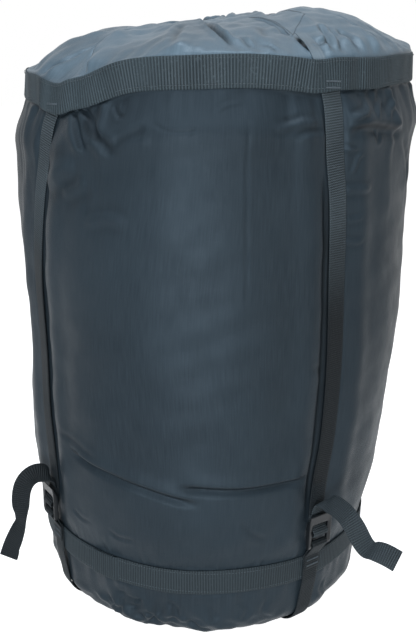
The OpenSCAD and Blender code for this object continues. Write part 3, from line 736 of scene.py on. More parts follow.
def makeCord(path):
    radius = drawcord["thick"] / 2
    tube, u, v = newSheet("drawcord", drawcord["around"], len(path) - 1)
    row = np.round(v * (len(path) - 1)).astype(int)
    ahead = unit(np.gradient(path, axis=0))
    side = unit(np.cross(ahead, [0.0, 0.0, 1.0]))
    up = np.cross(side, ahead)
    run = runAlong(path)
    angle = 2 * math.pi * u
    twist = 2 * math.pi * run[row] / drawcord["bumpPitch"]
    r = radius * (1 + drawcord["bumps"] * np.sin(3 * angle + twist) * np.sin(3 * angle - twist))
    layPoints(tube, path[row] + r[:, None] * (np.cos(angle)[:, None] * side[row]
                                              - np.sin(angle)[:, None] * up[row]))
    scaleUv(tube, 2 * math.pi * radius, run[-1])
    weld(tube)
    closeEnds(tube)
    smooth(tube, 60)
    return tube


cord = makeCord(cordPath)
finishPiece(cord, "drawcord", "top", ("drawcord_free", "drawcord_coil"))


# webbing: a flat section with rounded edges, swept with real ribs
sectionX = np.array([-1, -0.975, -0.86, -0.5, 0, 0.5, 0.86, 0.975,
                     1, 0.975, 0.86, 0.5, 0, -0.5, -0.86, -0.975])
sectionY = np.array([0, 0.62, 1, 1, 1, 1, 1, 0.62, 0, -0.62, -1, -1, -1, -1, -1, -0.62])


def sweepWebbing(name, path, sides, width, pitch, rib, perRib=4, ribShare=None):
    run = runAlong(path)
    rows = max(8, int(run[-1] / pitch * perRib))
    at = np.linspace(0, run[-1], rows + 1)
    centre = columnsAt(at, run, path)
    side = unit(columnsAt(at, run, unit(sides)))
    ahead = unit(np.gradient(centre, axis=0))
    side = unit(side - ahead * np.sum(side * ahead, axis=1, keepdims=True))
    face = np.cross(side, ahead)
    around = len(sectionX)
    strip, u, v = newSheet(name, around, rows)
    column = np.round(u * around).astype(int) % around
    row = np.round(v * rows).astype(int)
    wave = np.cos(2 * math.pi * at[row] / pitch) * (np.abs(sectionX[column]) < 0.95)
    if ribShare is not None:
        wave = 1 + (wave - 1) * np.interp(at, run, ribShare)[row]
    offset = sectionY[column] * (webT / 2 + rib * (wave - 1) / 2)
    # seen from its start the section runs from one edge over the outer face to the other
    layPoints(strip, centre[row] + sectionX[column][:, None] * width / 2 * side[row]
              + offset[:, None] * face[row])
    girth = np.concatenate([[0], np.cumsum(np.abs(np.diff(np.append(sectionX, -1))) + 0.02)])
    changeUv(strip, lambda u, v: (np.interp(u * around, np.arange(around + 1), girth) * width / 2 * mm,
                                  v * (run[-1] * mm)))
    weld(strip)
    closeEnds(strip)
    turnOutward(strip)
    smooth(strip, 50)
    return strip


# upper and lower webbing rings
upperRing = {"pitch": 2.4, "rib": 0.5, "lapStart": 40.5, "lapLength": 7, "lapLift": 1.9, "wander": 0.8}
ringSteps = 1500


def ringWander(az):
    return upperRing["wander"] * pleats(az, 0, 31, (5, 7, 11, 13))


def makeUpperRing():
    az = np.linspace(upperRing["lapStart"], upperRing["lapStart"] + 360 + upperRing["lapLength"], ringSteps)
    lap = ease((az - upperRing["lapStart"] - 360 + 1.5) / 3.0)
    r = ringFaceR(az) + webT / 2 + lap * upperRing["lapLift"]
    lean = 0.05 * pleats(az, 0, 32, (4, 6, 9)) + 0.03 * rimShift(az).clip(-8, 0)
    sides = np.array([0, 0, 1]) + direction(az) * lean[:, None]
    # the ribs stand out at the front, at the left strap and at the tab
    turn = wrap(az)
    clear = np.max([0.3 + 0.7 * bell(turn, -6, 20), bell(turn, -49, 4, 4), bell(turn, 26, 2.5, 4)], axis=0)
    return sweepWebbing("upperRing", spots(az, r, ringZ(az) + ringWander(az)), -sides, form["ringW"],
                        upperRing["pitch"], upperRing["rib"], ribShare=clear)


ring = makeUpperRing()
finishPiece(ring, "ring_webbing", "top", ("upper_ring",))

lowerRing = {"pitch": 2.0, "rib": 0.14, "lapStart": -29, "lapLength": 8, "lapLift": 1.7}


def makeLowerRing():
    az = np.linspace(lowerRing["lapStart"] - lowerRing["lapLength"], lowerRing["lapStart"] + 360, ringSteps)
    lap = 1 - ease((az - lowerRing["lapStart"]) / 2.5)
    r = form["lowerR"] + 0.3 + webT / 2 + lap * lowerRing["lapLift"]
    z = form["lowerZ"] + 0.5 * pleats(az, 0, 41, (4, 7, 9))
    return sweepWebbing("lowerRing", spots(az, r, z), np.tile([0, 0, -1.0], (len(az), 1)), form["ringW"],
                        lowerRing["pitch"], lowerRing["rib"])


ring = makeLowerRing()
# painted shade: the whole lower ring darkened, a shaded copy of the upper ring's webbing
markPaintedShade(ring, 0.45)
finishPiece(ring, "ring_webbing", "sack", ("lower_ring",))
print("rings wound")

# body wall: four panels that meet under the straps
wall = {"across": 166, "along": 280, "cloth": 0.8, "broad": 0.5, "gather": 1.5, "arcR": 195, "swell": 3.6,
        "swellAt": 30, "swellWide": 13, "bulge": 4.6, "bulgeAt": 33, "bulgeWide": 17, "shade": 0.22}
perDegree = 3.4  # wall length to one degree
frontCreases = [  # (line of (azimuth, height), width, depth), raised where the depth is negative
    ([(-33, 515), (-31.9, 502), (-27.5, 493), (-24.2, 485), (-22.0, 484)], 4.0, 2.2),
    ([(-24.7, 485), (-20.7, 495), (-14.4, 504)], 4.0, 1.2),
    ([(-24.8, 521), (-23.8, 515), (-22.5, 512), (-21.2, 514)], 1.8, 1.6),
    ([(-50, 447), (-46.8, 454), (-41.0, 463), (-34.5, 472)], 7.0, -2.8),
    ([(-41.2, 443), (-35.7, 451), (-31.6, 460)], 5.0, -1.6),
    ([(-34, 420), (-26, 428), (-20, 424)], 4.5, -1.3),
    ([(-14.4, 509), (-10.8, 503), (-7.3, 502), (-1.6, 504)], 1.5, 0.5),
    ([(-4, 508), (-4.6, 502), (-5, 497)], 1.5, 0.4), ([(0.6, 518), (3.5, 523), (7.3, 525)], 1.6, -0.5),
    ([(13.4, 508), (17.0, 506), (20.8, 511), (27, 511)], 2.4, -1.2),
    ([(16.7, 515), (18.7, 512), (21.7, 516)], 2.0, 0.8),
    ([(19, 500), (24, 505), (29, 504)], 2.8, 1.4),
    ([(8.2, 527), (8.5, 449), (9.7, 338)], 1.6, 0.35), ([(28, 300), (32, 290), (33.5, 275)], 3.0, 0.8),
    ([(-50, 208), (-40, 205), (-30, 196)], 3.0, 0.8), ([(10, 150), (14, 132), (20, 120)], 3.0, 0.7),
    ([(-30, 122), (-26, 116), (-20, 118)], 2.2, 0.8), ([(-44, 130), (-40, 122), (-36, 124)], 2.2, 0.8),
]
frontFolds = [  # (line, broad, sharp, rise, sink): cloth rolled over the line's left side
    ([(-32.5, 479), (-35.5, 496), (-37.1, 506), (-39.0, 516)], 7.0, 2.2, 4.4, 3.0),
    ([(-28.0, 487), (-30.7, 500), (-33.2, 508), (-37.0, 516)], 6.0, 2.4, 3.4, 2.4),
    ([(-8, 190), (8, 187), (20, 187), (32, 190)], 9.0, 3.9, 2.6, 5.4),
    ([(-44, 200), (-34, 194), (-20, 185), (-10, 178), (0, 172)], 9.0, 3.6, 2.4, 4.6),
]
wallCreases = {
    "Front": frontCreases,
    "Right": [([(35.1, 514), (38.4, 517), (40.5, 520), (42.6, 527)], 2.2, -2.6),
              ([(44.4, 512), (45.8, 520), (49.6, 530)], 2.2, -2.0),
              ([(49.0, 513), (52.3, 522), (55.4, 530)], 2.2, -1.8),
              ([(34, 489), (36.8, 488), (39, 487)], 1.8, -2.0),
              ([(41.4, 485), (39.6, 481), (39.1, 474), (37.8, 466)], 1.8, -1.4),
              ([(44.7, 505), (46.9, 494), (48.0, 503)], 2.0, 1.2),
              ([(35, 453), (39.7, 454), (46, 454)], 3.0, -1.6),
              ([(36, 426), (39.8, 427), (43, 429)], 2.2, -1.3),
              ([(36, 410), (40.4, 407), (44, 408)], 2.2, -1.6),
              ([(60, 500), (70, 470), (72, 440)], 4, 1.2), ([(100, 200), (92, 190), (80, 192)], 4, 1.2)],
    "Left": [([(-61, 279), (-66, 271), (-74, 264)], 2.6, 1.2),
             ([(-60, 246), (-68, 236), (-76, 233)], 2.6, 1.2),
             ([(-62, 517), (-58.8, 511), (-63.2, 496), (-70, 477)], 2.6, -2.0),
             ([(-72, 515), (-76, 494), (-75, 470)], 3, 1.6),
             ([(-130, 190), (-118, 182), (-100, 186)], 4, 1.4)],
    "Back": [([(132, 505), (140, 490), (144, 470)], 3, 2.0), ([(208, 500), (202, 484), (198, 462)], 3, 2.0),
             ([(150, 186), (170, 190), (195, 180)], 4, 1.8), ([(160, 470), (168, 440), (166, 400)], 5, 0.9),
             ([(184, 515), (180, 500), (182, 480)], 2.4, 1.4)],
}
wallFolds = {"Front": frontFolds, "Left": [],
             "Right": [([(33, 508), (40, 512), (48, 511), (60, 506)], 10.0, 5.0, 4.5, 3.5)],
             "Back": [([(200, 205), (180, 200), (160, 204)], 6, 2.2, 2.0, 1.0)]}
# a groove beside each front strap: (strap, side, depth, width)
grooves = (("fr", -1, 4.4, 3.8), ("fl", 1, 2.4, 2.4))


def wallRise(az, z, name):
    arc = np.radians(az) * wall["arcR"]
    below = np.clip(ringZ(az) - halfRing - z, 0, None)
    above = np.clip(z - form["lowerZ"] - halfRing, 0, None)
    rise = wall["broad"] * waves(arc, z, 3, 12, 70, 190, (-30, 100))
    rise += 0.22 * waves(arc, z, 4, 12, 24, 60)
    # gathers sewn in under the upper ring, of uneven length, nearly smoothed out at the front
    reach = 10 + 8 * (1 + pleats(az, 0, 5, (9, 14, 21))) ** 2
    gather = pleats(az, below / 30, 6, (19, 27, 34, 45, 58)) + 0.4 * pleats(az, below / 20, 7, (83, 97))
    taut = 1 - 0.72 * bell(away(az, 2), 0, 30, 4)
    rise += taut * wall["gather"] * gather * np.exp(-below / np.clip(reach, 8, 50)) * ease(below / 6 + 0.2)
    rise += 0.5 * pleats(az, above / 20, 8, (60, 83, 111, 140)) * np.exp(-above / 9)
    # the load pushes the cloth out just below the ring
    rise += wall["bulge"] * bell(below, wall["bulgeAt"], wall["bulgeWide"])
    creases, folds = (inArc(rows[name], wall["arcR"]) for rows in (wallCreases, wallFolds))
    # painted shade in the creases and under the folds
    marks, paintedShade = markCloth(arc, z, creases, folds, wall["shade"], 3)
    rise += marks
    # cloth swells beside each strap and lies flat under it and under the rings
    gap = driftGap(az, z) * perDegree
    swell = wall["swell"] * bell(gap, wall["swellAt"], wall["swellWide"])
    rise += swell * ease(above / 40) * ease(below / 20)
    for key, way, deep, narrow in grooves:
        beside = way * wrap(az - strapAt(key, z)) * perDegree
        reach = ease((z - 120) / 60) * ease((480 - z) / 50)
        rise -= deep * bell(beside, 13, narrow) * reach
        # painted shade in the groove beside the strap
        paintedShade += wall["shade"] * deep * bell(beside, 11, 1.6 * narrow) * reach
    calm = ease((gap - 9.5) / 4) * ease(above / 4 + 0.1) * ease(below / 3 + 0.1)
    return rise * calm, paintedShade


# rows lie closer together where the wall has its sharp folds
def wallShare(v):
    t = np.linspace(0, 1, 400)
    weight = 1 + 1.3 * bell(t, 0.235, 0.05) + 0.9 * ease((t - 0.74) / 0.1)
    run = np.cumsum(weight)
    return np.interp(v, (run - run[0]) / (run[-1] - run[0]), t)


# gives the piece its own copy of its mesh
def squashWithWall(piece):
    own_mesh(piece)


def makeWallPanel(name, first, last):
    panel, u, v = newSheet("wall" + name, wall["across"], wall["along"])
    t = wallShare(v)
    edge = form["lowerZ"] + t * wallHigh
    start = strapAt(first, edge)
    az = start + (strapAt(last, edge) - start) % 360 * u
    z = wallZ(az, t)
    rise, paintedShade = wallRise(az, z, name)
    layPoints(panel, spots(az, wallR(az, t) + rise, z))
    markPaintedShade(panel, paintedShade)
    scaleUv(panel, 306, wallHigh, wallShare)
    finishCloth(panel, wall["cloth"], "sack_cloth", "sack", ("body_wall",))
    squashWithWall(panel)


for name, first, last in (("Front", "fl", "fr"), ("Right", "fr", "br"), ("Back", "br", "bl"),
                          ("Left", "bl", "fl")):
    makeWallPanel(name, first, last)
print("wall panels laid")

# stuffed load inside, with its crown carried by the top
# the base cloth's measures, which the load inside follows
base = {"flatR": 146, "edge": 30, "z": 3.8, "around": 420, "along": 96, "cloth": 0.8}
load = {"gap": 9.0, "around": 96, "along": 60, "coilSeat": 591.9}


def makeLoad():
    inset = load["gap"]
    low, u, v = newSheet("stuffedLoad", load["around"], load["along"])
    az = u * 360
    # bottom edge, straight side, then the top disc closed at its middle
    edgeShare, discShare = 0.2, 0.85
    turn = np.clip(v / edgeShare, 0, 1) * 90 - 90
    side = np.clip((v - edgeShare) / (discShare - edgeShare), 0, 1)
    disc = np.clip((v - discShare) / (1 - discShare), 0, 1)
    edgeR = base["flatR"] + (base["edge"] - inset) * cosine(turn)
    edgeZ = base["z"] + base["edge"] + (base["edge"] - inset) * sine(turn)
    sideR = wallR(az, side) - inset
    sideZ = form["lowerZ"] + side * (form["upperZ"] - 14 - form["lowerZ"])
    r = np.where(v < edgeShare, edgeR, sideR * (1 - disc))
    r = np.where(v < 0.005, 0.0, r)
    z = np.where(v < edgeShare, edgeZ, sideZ)
    z = z + 1.0 * pleats(az, v * 20, 51, (5, 8, 13)) * (disc > 0) * (disc < 1)
    r = r + 0.8 * pleats(az, v * 15, 52, (6, 11, 17)) * (side > 0.05) * (disc == 0)
    layPoints(low, spots(az, r, z))
    scaleUv(low, 1200, 700)
    weld(low, 0.05)
    smooth(low, 60)
    finishPiece(low, "stuffed_load", "sack", ("packed_fill",))
    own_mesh(low)
    crown, u, v = newSheet("stuffedCrown", load["around"], load["along"])
    az = u * 360
    share = 1 - v
    points = throatPoint(az, np.clip(share, 0.02, 1))
    points[:, 2] -= inset
    points[:, :2] -= (direction(az) * (inset * share)[:, None])[:, :2]
    foot = v < 0.03
    points[foot] = spots(az[foot], form["upperR"] - inset - 2 + rimShift(az[foot]), form["upperZ"] - 12)
    # flat under the coil of the drawcord
    points[:, 2] = np.minimum(points[:, 2], np.where(share < 0.2, load["coilSeat"], 1000))
    layPoints(crown, points)
    scaleUv(crown, 1200, 200)
    weld(crown, 0.05)
    closeEnds(crown)
    smooth(crown, 60)
    finishPiece(crown, "stuffed_load", "top")


makeLoad()
print("load stuffed")

# throat: gathered cloth from the ring to the drawn mouth
throat = {"around": 480, "along": 98, "cloth": 0.8, "frontShare": 24}
throatCreases = [  # (line in plan, width, depth)
    ([(-10, -74), (-2, -128), (7, -160), (14, -176), (17, -184)], 2.4, 5.0),
    ([(-27, -101), (-31, -142), (-32, -163), (-33, -178)], 3.5, 2.0),
    ([(21, -162), (26, -173), (31, -182)], 2.0, 1.8),
    ([(38, -170), (44, -174), (52, -178)], 2.0, 1.5), ([(77, -149), (86, -153), (97, -144)], 2.4, 2.2),
    ([(71, -144), (74, -158), (80, -166)], 2.4, 2.4), ([(106, -108), (114, -124), (123, -140)], 3.0, 2.4),
    ([(138, -58), (151, -85), (164, -90)], 3.0, 1.6), ([(-140, -40), (-160, -50), (-178, -52)], 3.0, 1.8),
    ([(-10, -74), (-3, -96), (-2, -120)], 5.0, 1.6), ([(45, -120), (40, -140), (44, -158)], 4.0, 1.2),
    ([(64, -149), (55, -126), (45, -106), (31, -86)], 1.8, 1.6),
]
throatFolds = [  # (line in plan, broad, sharp, rise, sink): cloth rolled over the line's left side
    ([(-76, -84), (-86, -98), (-96, -114), (-101, -133), (-102, -152), (-104, -166)], 14.0, 3.2, 4.675, 5.7),
    ([(-70, -72), (-86, -88), (-104, -102), (-124, -109), (-142, -112), (-156, -112)], 12.0, 3.4, 2.38, 3.8),
    ([(-92, -60), (-117, -62), (-141, -58), (-160, -66), (-172, -80)], 11.0, 3.4, 2.89, 2.09),
    ([(94, -160), (91, -148), (88, -130), (84, -112)], 9.0, 2.8, 3.06, 2.66),
    ([(102, -156), (101, -140), (97, -122), (92, -104)], 8.0, 2.8, 2.72, 2.28),
    ([(146, -122), (133, -106), (117, -83), (104, -60)], 11.0, 3.6, 3.06, 2.28),
]
flapLine = {"upper": [(42, -38), (52, -44), (67, -56), (81, -83)], "end": [(81, -83), (73, -110), (65, -143)],
            "lower": [(31, -80), (45, -98), (55, -115), (64, -142)], "raise": 1.0}


def throatRise(az, share, x, y):
    inner = (1 - share) / 0.81
    rim = (1 - share) * form["upperR"]
    near = np.clip((0.62 - share) / 0.42, 0, 1)
    swirl = az + 5 * pleats(az, 0, 60, (2, 3, 5)) + 10 * inner
    rise = 1.5 * waves(x, y, 61, 12, 55, 120) + 0.35 * waves(x, y, 62, 14, 14, 34)
    rise += 2.4 * near ** 1.3 * pleats(swirl, inner * 3, 63, (23, 29, 34, 41))
    rise += 1.0 * ease(inner * 1.6) * pleats(swirl, inner * 4, 64, (7, 9, 13, 17))
    rise += 0.8 * pleats(az, rim / 14, 65, (31, 43, 61, 83)) * np.exp(-rim / 10)
    # painted shade in the creases and under the folds
    marks, paintedShade = markCloth(x, y, throatCreases, throatFolds, 0.2, 4)
    rise += marks
    # the hem flap stands up a little between its stitched edges
    lines = [lineGap(x, y, flapLine[edge])[:2] for edge in ("upper", "lower")]
    onFlap = ease(lines[0][0] * lines[0][1] * -1 / 1.2 + 0.5) * ease(lines[1][0] * lines[1][1] / 1.2 + 0.5)
    rise += flapLine["raise"] * onFlap * ease((x - 34) / 10) * ease((96 - x) / 6) * ease((y + 150) / 6)
    hx, hy = form["hollowAt"]
    calm = 1 - 0.92 * np.exp(-(((x - hx) / 58) ** 2 + ((y - hy + 6) / 32) ** 2) ** 2)
    return rise * calm * ease(rim / 5) * ease((share - 0.185) / 0.03 + 0.25), paintedShade * ease(rim / 5)


def makeThroat():
    cloth, u, v = newSheet("throatCloth", throat["around"], throat["along"])
    az = u * 360 - 180
    az = az - throat["frontShare"] * sine(az)
    collar = 0.07
    share = 1 - np.clip((v - collar) / (1 - collar), 0, 1) * (1 - form["mouthR"] / form["upperR"])
    points = throatPoint(az, share)
    step = 0.004
    dAz = throatPoint(az + 0.3, share) - throatPoint(az - 0.3, share)
    dShare = throatPoint(az, np.clip(share - step, 0, 1)) - throatPoint(az, np.clip(share + step, 0, 1))
    normal = unit(np.cross(dAz, dShare))
    rise, paintedShade = throatRise(az, share, points[:, 0], points[:, 1])
    points = points + normal * rise[:, None]
    low = np.clip(1 - v / collar, 0, 1)
    points[:, 2] -= low * halfRing
    layPoints(cloth, points)
    markPaintedShade(cloth, paintedShade)
    scaleUv(cloth, 1190, 180)
    weld(cloth)
    finishCloth(cloth, throat["cloth"], "throat_cloth", "top", ("throat",))
    return cloth


throatCloth = makeThroat()

# hem of the mouth, puckered on its cord
hem = {"r": 36, "tube": 5.0, "z": 599.8, "around": 360, "section": 24}


def makeHem():
    tube, u, v = newSheet("mouthHem", hem["section"], hem["around"])
    az = v * 360
    angle = 2 * math.pi * u
    pucker = pleats(az, 0, 71, (31, 37, 43, 53)) + 0.5 * pleats(az, 0, 72, (61, 79))
    thick = hem["tube"] + 0.45 * pucker * (0.6 + 0.4 * np.sin(angle)) - 0.3
    r = hem["r"] + thick * np.cos(angle)
    z = hem["z"] + thick * np.sin(angle) * 0.98 + 0.4 * pleats(az, 0, 73, (3, 5, 8))
    centre = np.array([*form["mouthAt"], 0])
    layPoints(tube, centre + spots(az, r, z))
    scaleUv(tube, 31, 226)
    weld(tube)
    turnOutward(tube)
    smooth(tube)
    finishPiece(tube, "throat_cloth", "top", ("mouth_hem",))


makeHem()
print("throat gathered")

# base cloth under the lower ring, over the rounded edge to the middle of the floor
skirtCreases = [  # (line of (azimuth, height), width, depth)
    ([(-12, 48), (-9, 44), (-8, 29)], 2.2, 2.6), ([(-26, 44), (-29, 19)], 2.0, 2.4),
    ([(-34, 38), (-30, 30), (-33, 18)], 2.2, 2.2), ([(-22, 50), (-20, 40), (-24, 32)], 2.0, 2.4),
    ([(-19, 36), (-16, 26), (-18, 14)], 2.2, 2.4), ([(-5, 30), (-1, 20), (4, 12)], 2.2, 2.2),
    ([(-30, 52), (-25, 46), (-18, 44)], 1.8, 1.8), ([(2, 52), (4, 38), (3, 26)], 2.6, 1.2),
    ([(12, 55), (15, 40), (13, 25)], 2.6, 1.4), ([(22, 52), (20, 34), (24, 20)], 2.6, 1.4),
    ([(46, 48), (44, 36), (47, 24)], 2.4, 1.6), ([(-16, 22), (-24, 16), (-34, 14)], 2.2, 2.0),
]


def makeBase():
    cloth, u, v = newSheet("baseCloth", base["around"], base["along"])
    az = u * 360 - 180
    # v runs from the middle of the floor out and up to the ring
    floorShare, edgeShare = 0.42, 0.86
    turn = np.clip((v - floorShare) / (edgeShare - floorShare), 0, 1) * 90 - 90
    r = np.where(v < floorShare, base["flatR"] * v / floorShare, base["flatR"] + base["edge"] * cosine(turn))
    z = np.where(v < floorShare, base["z"], base["z"] + base["edge"] + base["edge"] * sine(turn))
    up = np.clip((v - edgeShare) / (1 - edgeShare), 0, 1)
    r = r + up * (form["lowerR"] - base["flatR"] - base["edge"])
    z = z + up * (form["lowerZ"] - 0.15 - base["z"] - base["edge"])
    normal = spots(az, np.where(v < floorShare, 0, cosine(turn)), np.where(v < floorShare, -1, sine(turn)))
    arcR = 178
    arc = np.radians(az) * arcR
    run = (v - floorShare) / (edgeShare - floorShare) * 47
    below = np.clip(64 - z, 0, None)
    rise = 1.1 * waves(arc, run, 81, 12, 40, 100) + 0.35 * waves(arc, run, 82, 16, 14, 30)
    rise += 0.7 * pleats(az, below / 18, 83, (41, 56, 67, 84)) * np.exp(-below / 9)
    patch = bell(away(az, -16), 0, 20) * bell(z, 30, 18)
    rise += 1.6 * patch * waves(arc, run, 84, 18, 9, 22)
    rise += sum(crease(arc, z, *row) for row in inArc(skirtCreases, arcR))
    calm = ease((v - floorShare) / 0.16) * ease(below / 4) * (1 - np.max(
        [over(az, s, 3.6, 2.4) for s in strapAz.values()], axis=0))
    layPoints(cloth, spots(az, r, z) + normal * (rise * calm)[:, None])
    scaleUv(cloth, 1120, 230)
    weld(cloth, 0.02)
    finishCloth(cloth, base["cloth"], "sack_cloth", "sack", ("base_panel",))


makeBase()
print("base sewn")

# straps
strap = {"pitch": 2.1, "rib": 0.5, "runMid": 1.4, "leadTop": 172, "footZ": 138.5, "headZ": 535,
         "underRing": 10, "lightFrom": 330}
lock = {"out": 6.4, "inner": 10.0, "deep": 2.5, "bars": (0, 13, 24), "windows": ((1.7, 10.9), (15.1, 22.1)),
        "lip": 25, "edge": 0.55, "reach": 36}
hingeZ = 107.5


# share of the way up the wall, to the ring as it sags and to its plain band
def strapT(az, z):
    return (z - form["lowerZ"]) / (ringZ(az) - form["lowerZ"])


def cadT(az, z):
    return (z - form["lowerZ"]) / (bandZ(az) - form["lowerZ"])


# radius of the wall that a lock hangs against
def lockRadius(az):
    return float(np.max(wallR(float(az), cadT(float(az), hingeZ + np.arange(0, lock["reach"] + 1, 6)))))


def strapLine(key, low, high, count=220):
    z = np.linspace(low, high, count)
    az = strapAt(key, z)
    return spots(az, wallR(az, strapT(az, z)) + strap["runMid"] + 0.15, z), across(az)


def sweepStrap(name, path, sides, **choices):
    return sweepWebbing(name, path, -sides, strapW, strap["pitch"], strap["rib"], **choices)


def makeStrapRun(key):
    top = float(ringZ(float(strapAt(key, strap["headZ"])))) - halfRing + strap["underRing"]
    path, sides = strapLine(key, strap["leadTop"], top)
    # ribs fill up above the middle; below it painted shade darkens the webbing, fading out upward
    ribShare = 0.25 + 0.75 * ease((path[:, 2] - strap["lightFrom"]) / 110)
    run = sweepStrap("strapRun_" + key, path, sides, ribShare=ribShare)
    markPaintedShade(run, 0.9 - 0.9 * ease((readPoints(run)[:, 2] / mm - strap["lightFrom"]) / 120))
    finishPiece(run, "strap_webbing", "sack", ("strap_" + key,))
    squashWithWall(run)


tailShapes = {  # [out from the wall, height above the hinge bar, to the side, roll]
    "fl": [[8, 43.5, 0, -30], [14, 46.6, -1, -56], [20, 47.8, -1, -61], [25.5, 47, -0.5, -57],
           [30.5, 44.4, 0, -52], [34.5, 40, 0.5, -50], [37.2, 34, 1, -50], [38.8, 26, 1.5, -50],
           [39.6, 17, 2, -42], [40.2, 10, 4, -20], [41.8, 4, 6.5, -8], [44.6, -3, 7.5, -18],
           [47.8, -13, 5.5, -30], [51.2, -25.5, 1.5, -37], [54.6, -37, 0.5, -47]],
    "fr": [[9.2, 45.8, 0, 3], [18, 51.5, -2, 24], [27, 54.4, -6, 44], [38, 56.8, -9, 47],
           [50, 57.4, -12, 46], [59.5, 55, -14, 42], [66.6, 50, -14, 39], [72, 44, -13.5, 34],
           [77, 39.4, -13, 26], [83, 37.6, -13, 28], [91, 41, -14, 38], [101, 41.4, -11.5, 50],
           [111, 38.4, -7, 53]],
    "br": [[9, 46, 0, 0], [17, 53, 0, 0], [28, 56, 1, -8], [40, 53, 2, -18], [50, 44, 4, -26],
           [57, 32, 6, -22], [62, 19, 6, -14], [69, 8, 5, -24], [78, 2, 4, -30]],
    "bl": [[9, 46, 0, 0], [16, 52, 0, 4], [26, 53, -1, 14], [36, 48, -2, 24], [43, 39, -3, 26],
           [47, 27, -4, 20], [48, 14, -4, 8], [46, 1, -5, 4], [45, -12, -7, 12], [48, -24, -9, 20]]}
bightShape = [[1.4, 30.7], [1.4, 24], [1.4, 17], [2.2, 11.5]]
bightTop = [[4.4, 19], [3.5, 21.2], [3.3, 24], [3.3, 30.2], [4.75, 33.8], [5.6, 38.2]]
tailHem = {"long": 11, "under": 1.55}


# points round part of a circle, between two angles
def turning(hub, radius, first, last, count):
    return [hub + radius * np.array([cosine(a), sine(a)]) for a in np.linspace(first, last, count)]


def makeStrapEnd(key):
    az = float(strapAz[key])
    lockR = lockRadius(az)
    hub = np.array([lock["out"], lock["bars"][1]])
    bight = bightShape + turning(hub, 3.6, -120, 75, 10) + bightTop
    path = curveThrough([[out, up, 0, 0] for out, up in bight] + tailShapes[key], 1.0)
    wide = across(np.full(len(path), az))
    place = spots(az, lockR + path[:, 0], hingeZ + path[:, 1], path[:, 2])
    ahead = unit(np.gradient(place, axis=0))
    up = np.cross(ahead, wide)
    sides = wide * cosine(path[:, 3])[:, None] + up * sine(path[:, 3])[:, None]
    end = sweepStrap("strapEnd_" + key, place, sides)
    # the sewn hem: a short second layer under the tip
    back = np.linalg.norm(place[-1] - place, axis=1) < tailHem["long"]
    lift = np.cross(-sides[back], ahead[back]) * -tailHem["under"]
    hemEnd = sweepStrap("tailHem_" + key, place[back] + lift, sides[back])
    end = joinPieces([end, hemEnd], "strapEnd_" + key)
    # painted shade: each tail darkened by a set amount, most on the left front
    markPaintedShade(end, {"fl": 0.8, "fr": 0.4}.get(key, 0.6))
    finishPiece(end, "strap_webbing", None, ("tail_" + key, "bight_" + key))
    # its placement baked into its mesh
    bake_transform(end)


def makeStrapLead(key):
    # the length behind the lock, between the sack and the lock
    path, sides = strapLine(key, strap["footZ"], strap["leadTop"] + 1.0, 30)
    lead = sweepStrap("strapLead_" + key, path, sides)
    # painted shade over the whole lead behind the lock
    markPaintedShade(lead, 0.8)
    finishPiece(lead, "strap_webbing")
    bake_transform(lead)


for key in strapAz:
    makeStrapRun(key)
    makeStrapEnd(key)
    makeStrapLead(key)
print("straps threaded")

# base straps: under the floor, over the lower ring, round each hinge bar and back down
baseStrap = {"overRingR": form["lowerR"] + 0.3 + webT + 0.3 + webT / 2, "edgeOut": 31.6, "edgeDown": 33.0,
             "loop": 3.2}


def makeBaseStrap(name, node, key, liftOver):
    az = float(strapAz[key])
    ring = baseStrap["overRingR"]

    def side(a):
        hub = np.array([lockRadius(a) + lock["out"], hingeZ])
        loop = baseStrap["loop"]
        edge = [[base["flatR"] + baseStrap["edgeOut"] * cosine(t), base["z"] + base["edge"]
                 + baseStrap["edgeDown"] * sine(t)] for t in np.linspace(-90, -6, 14)]
        return (edge + [[ring, 62], [ring, 91], hub + [-loop - 1.2, -8]] + turning(hub, loop, 175, -5, 12)
                + [hub + [-loop + 1.6, -8], [ring + 1.9, 91], [ring + 1.9, 76]])
    middle = ([[-30, 0.8], [-22, 0.8 + liftOver / 2], [-14, 0.8 + liftOver], [14, 0.8 + liftOver],
               [22, 0.8 + liftOver / 2], [30, 0.8]] if liftOver else [[0, 0.8]])
    far = [[-p[0], p[1]] for p in side(az + 180)[::-1]]
    flat = evenly(np.array(far + middle + side(az)), 0.8)
    path = spots(az, flat[:, 0], flat[:, 1])
    piece = sweepWebbing(name, path, -across(np.full(len(flat), az)), strapW, strap["pitch"], 0.3, perRib=3)
    # painted shade over the whole base strap
    markPaintedShade(piece, 0.75)
    finishPiece(piece, "strap_webbing", "sack", (node,))


makeBaseStrap("baseStrapLeft", "base_strap_left", "fl", 0)
makeBaseStrap("baseStrapRight", "base_strap_right", "fr", 1.9)
print("base straps sewn")

# ladder locks: one moulded frame with three bars and a lifting lip
lockX = np.array([-14.4, -13.2, -10.0, -5, 0, 5, 10.0, 13.2, 14.4])
lockZ = np.array([-2.8, -1.7, 0, 1.7, 10.9, 13, 15.1, 22.1, 24, 26.0, 29.6, 33])


# how far out the back or front face of the frame lies: thin bars, deep rails, the lip leaning out
def lockFace(x, z, front):
    inside = np.abs(x) <= lock["inner"]
    bar = np.min([np.abs(z - middle) for middle in lock["bars"]], axis=0)
    depth = np.where(inside & (z < 26), np.where(bar < 0.5, 2.1, 1.5), lock["deep"])
    depth = np.where(~inside & (z < -1), 1.9, depth)
    middle = lock["out"] + np.where(z > 20, 0.4 * (z - 20) / 4, 0)
    lip = z > lock["lip"]
    back = np.where(lip, 5.7 + (z - 24.6) * 0.39, middle - depth)
    fore = np.where(lip, 8.9 + (z - 24) * 0.15, middle + depth)
    return np.where(front, fore, back)


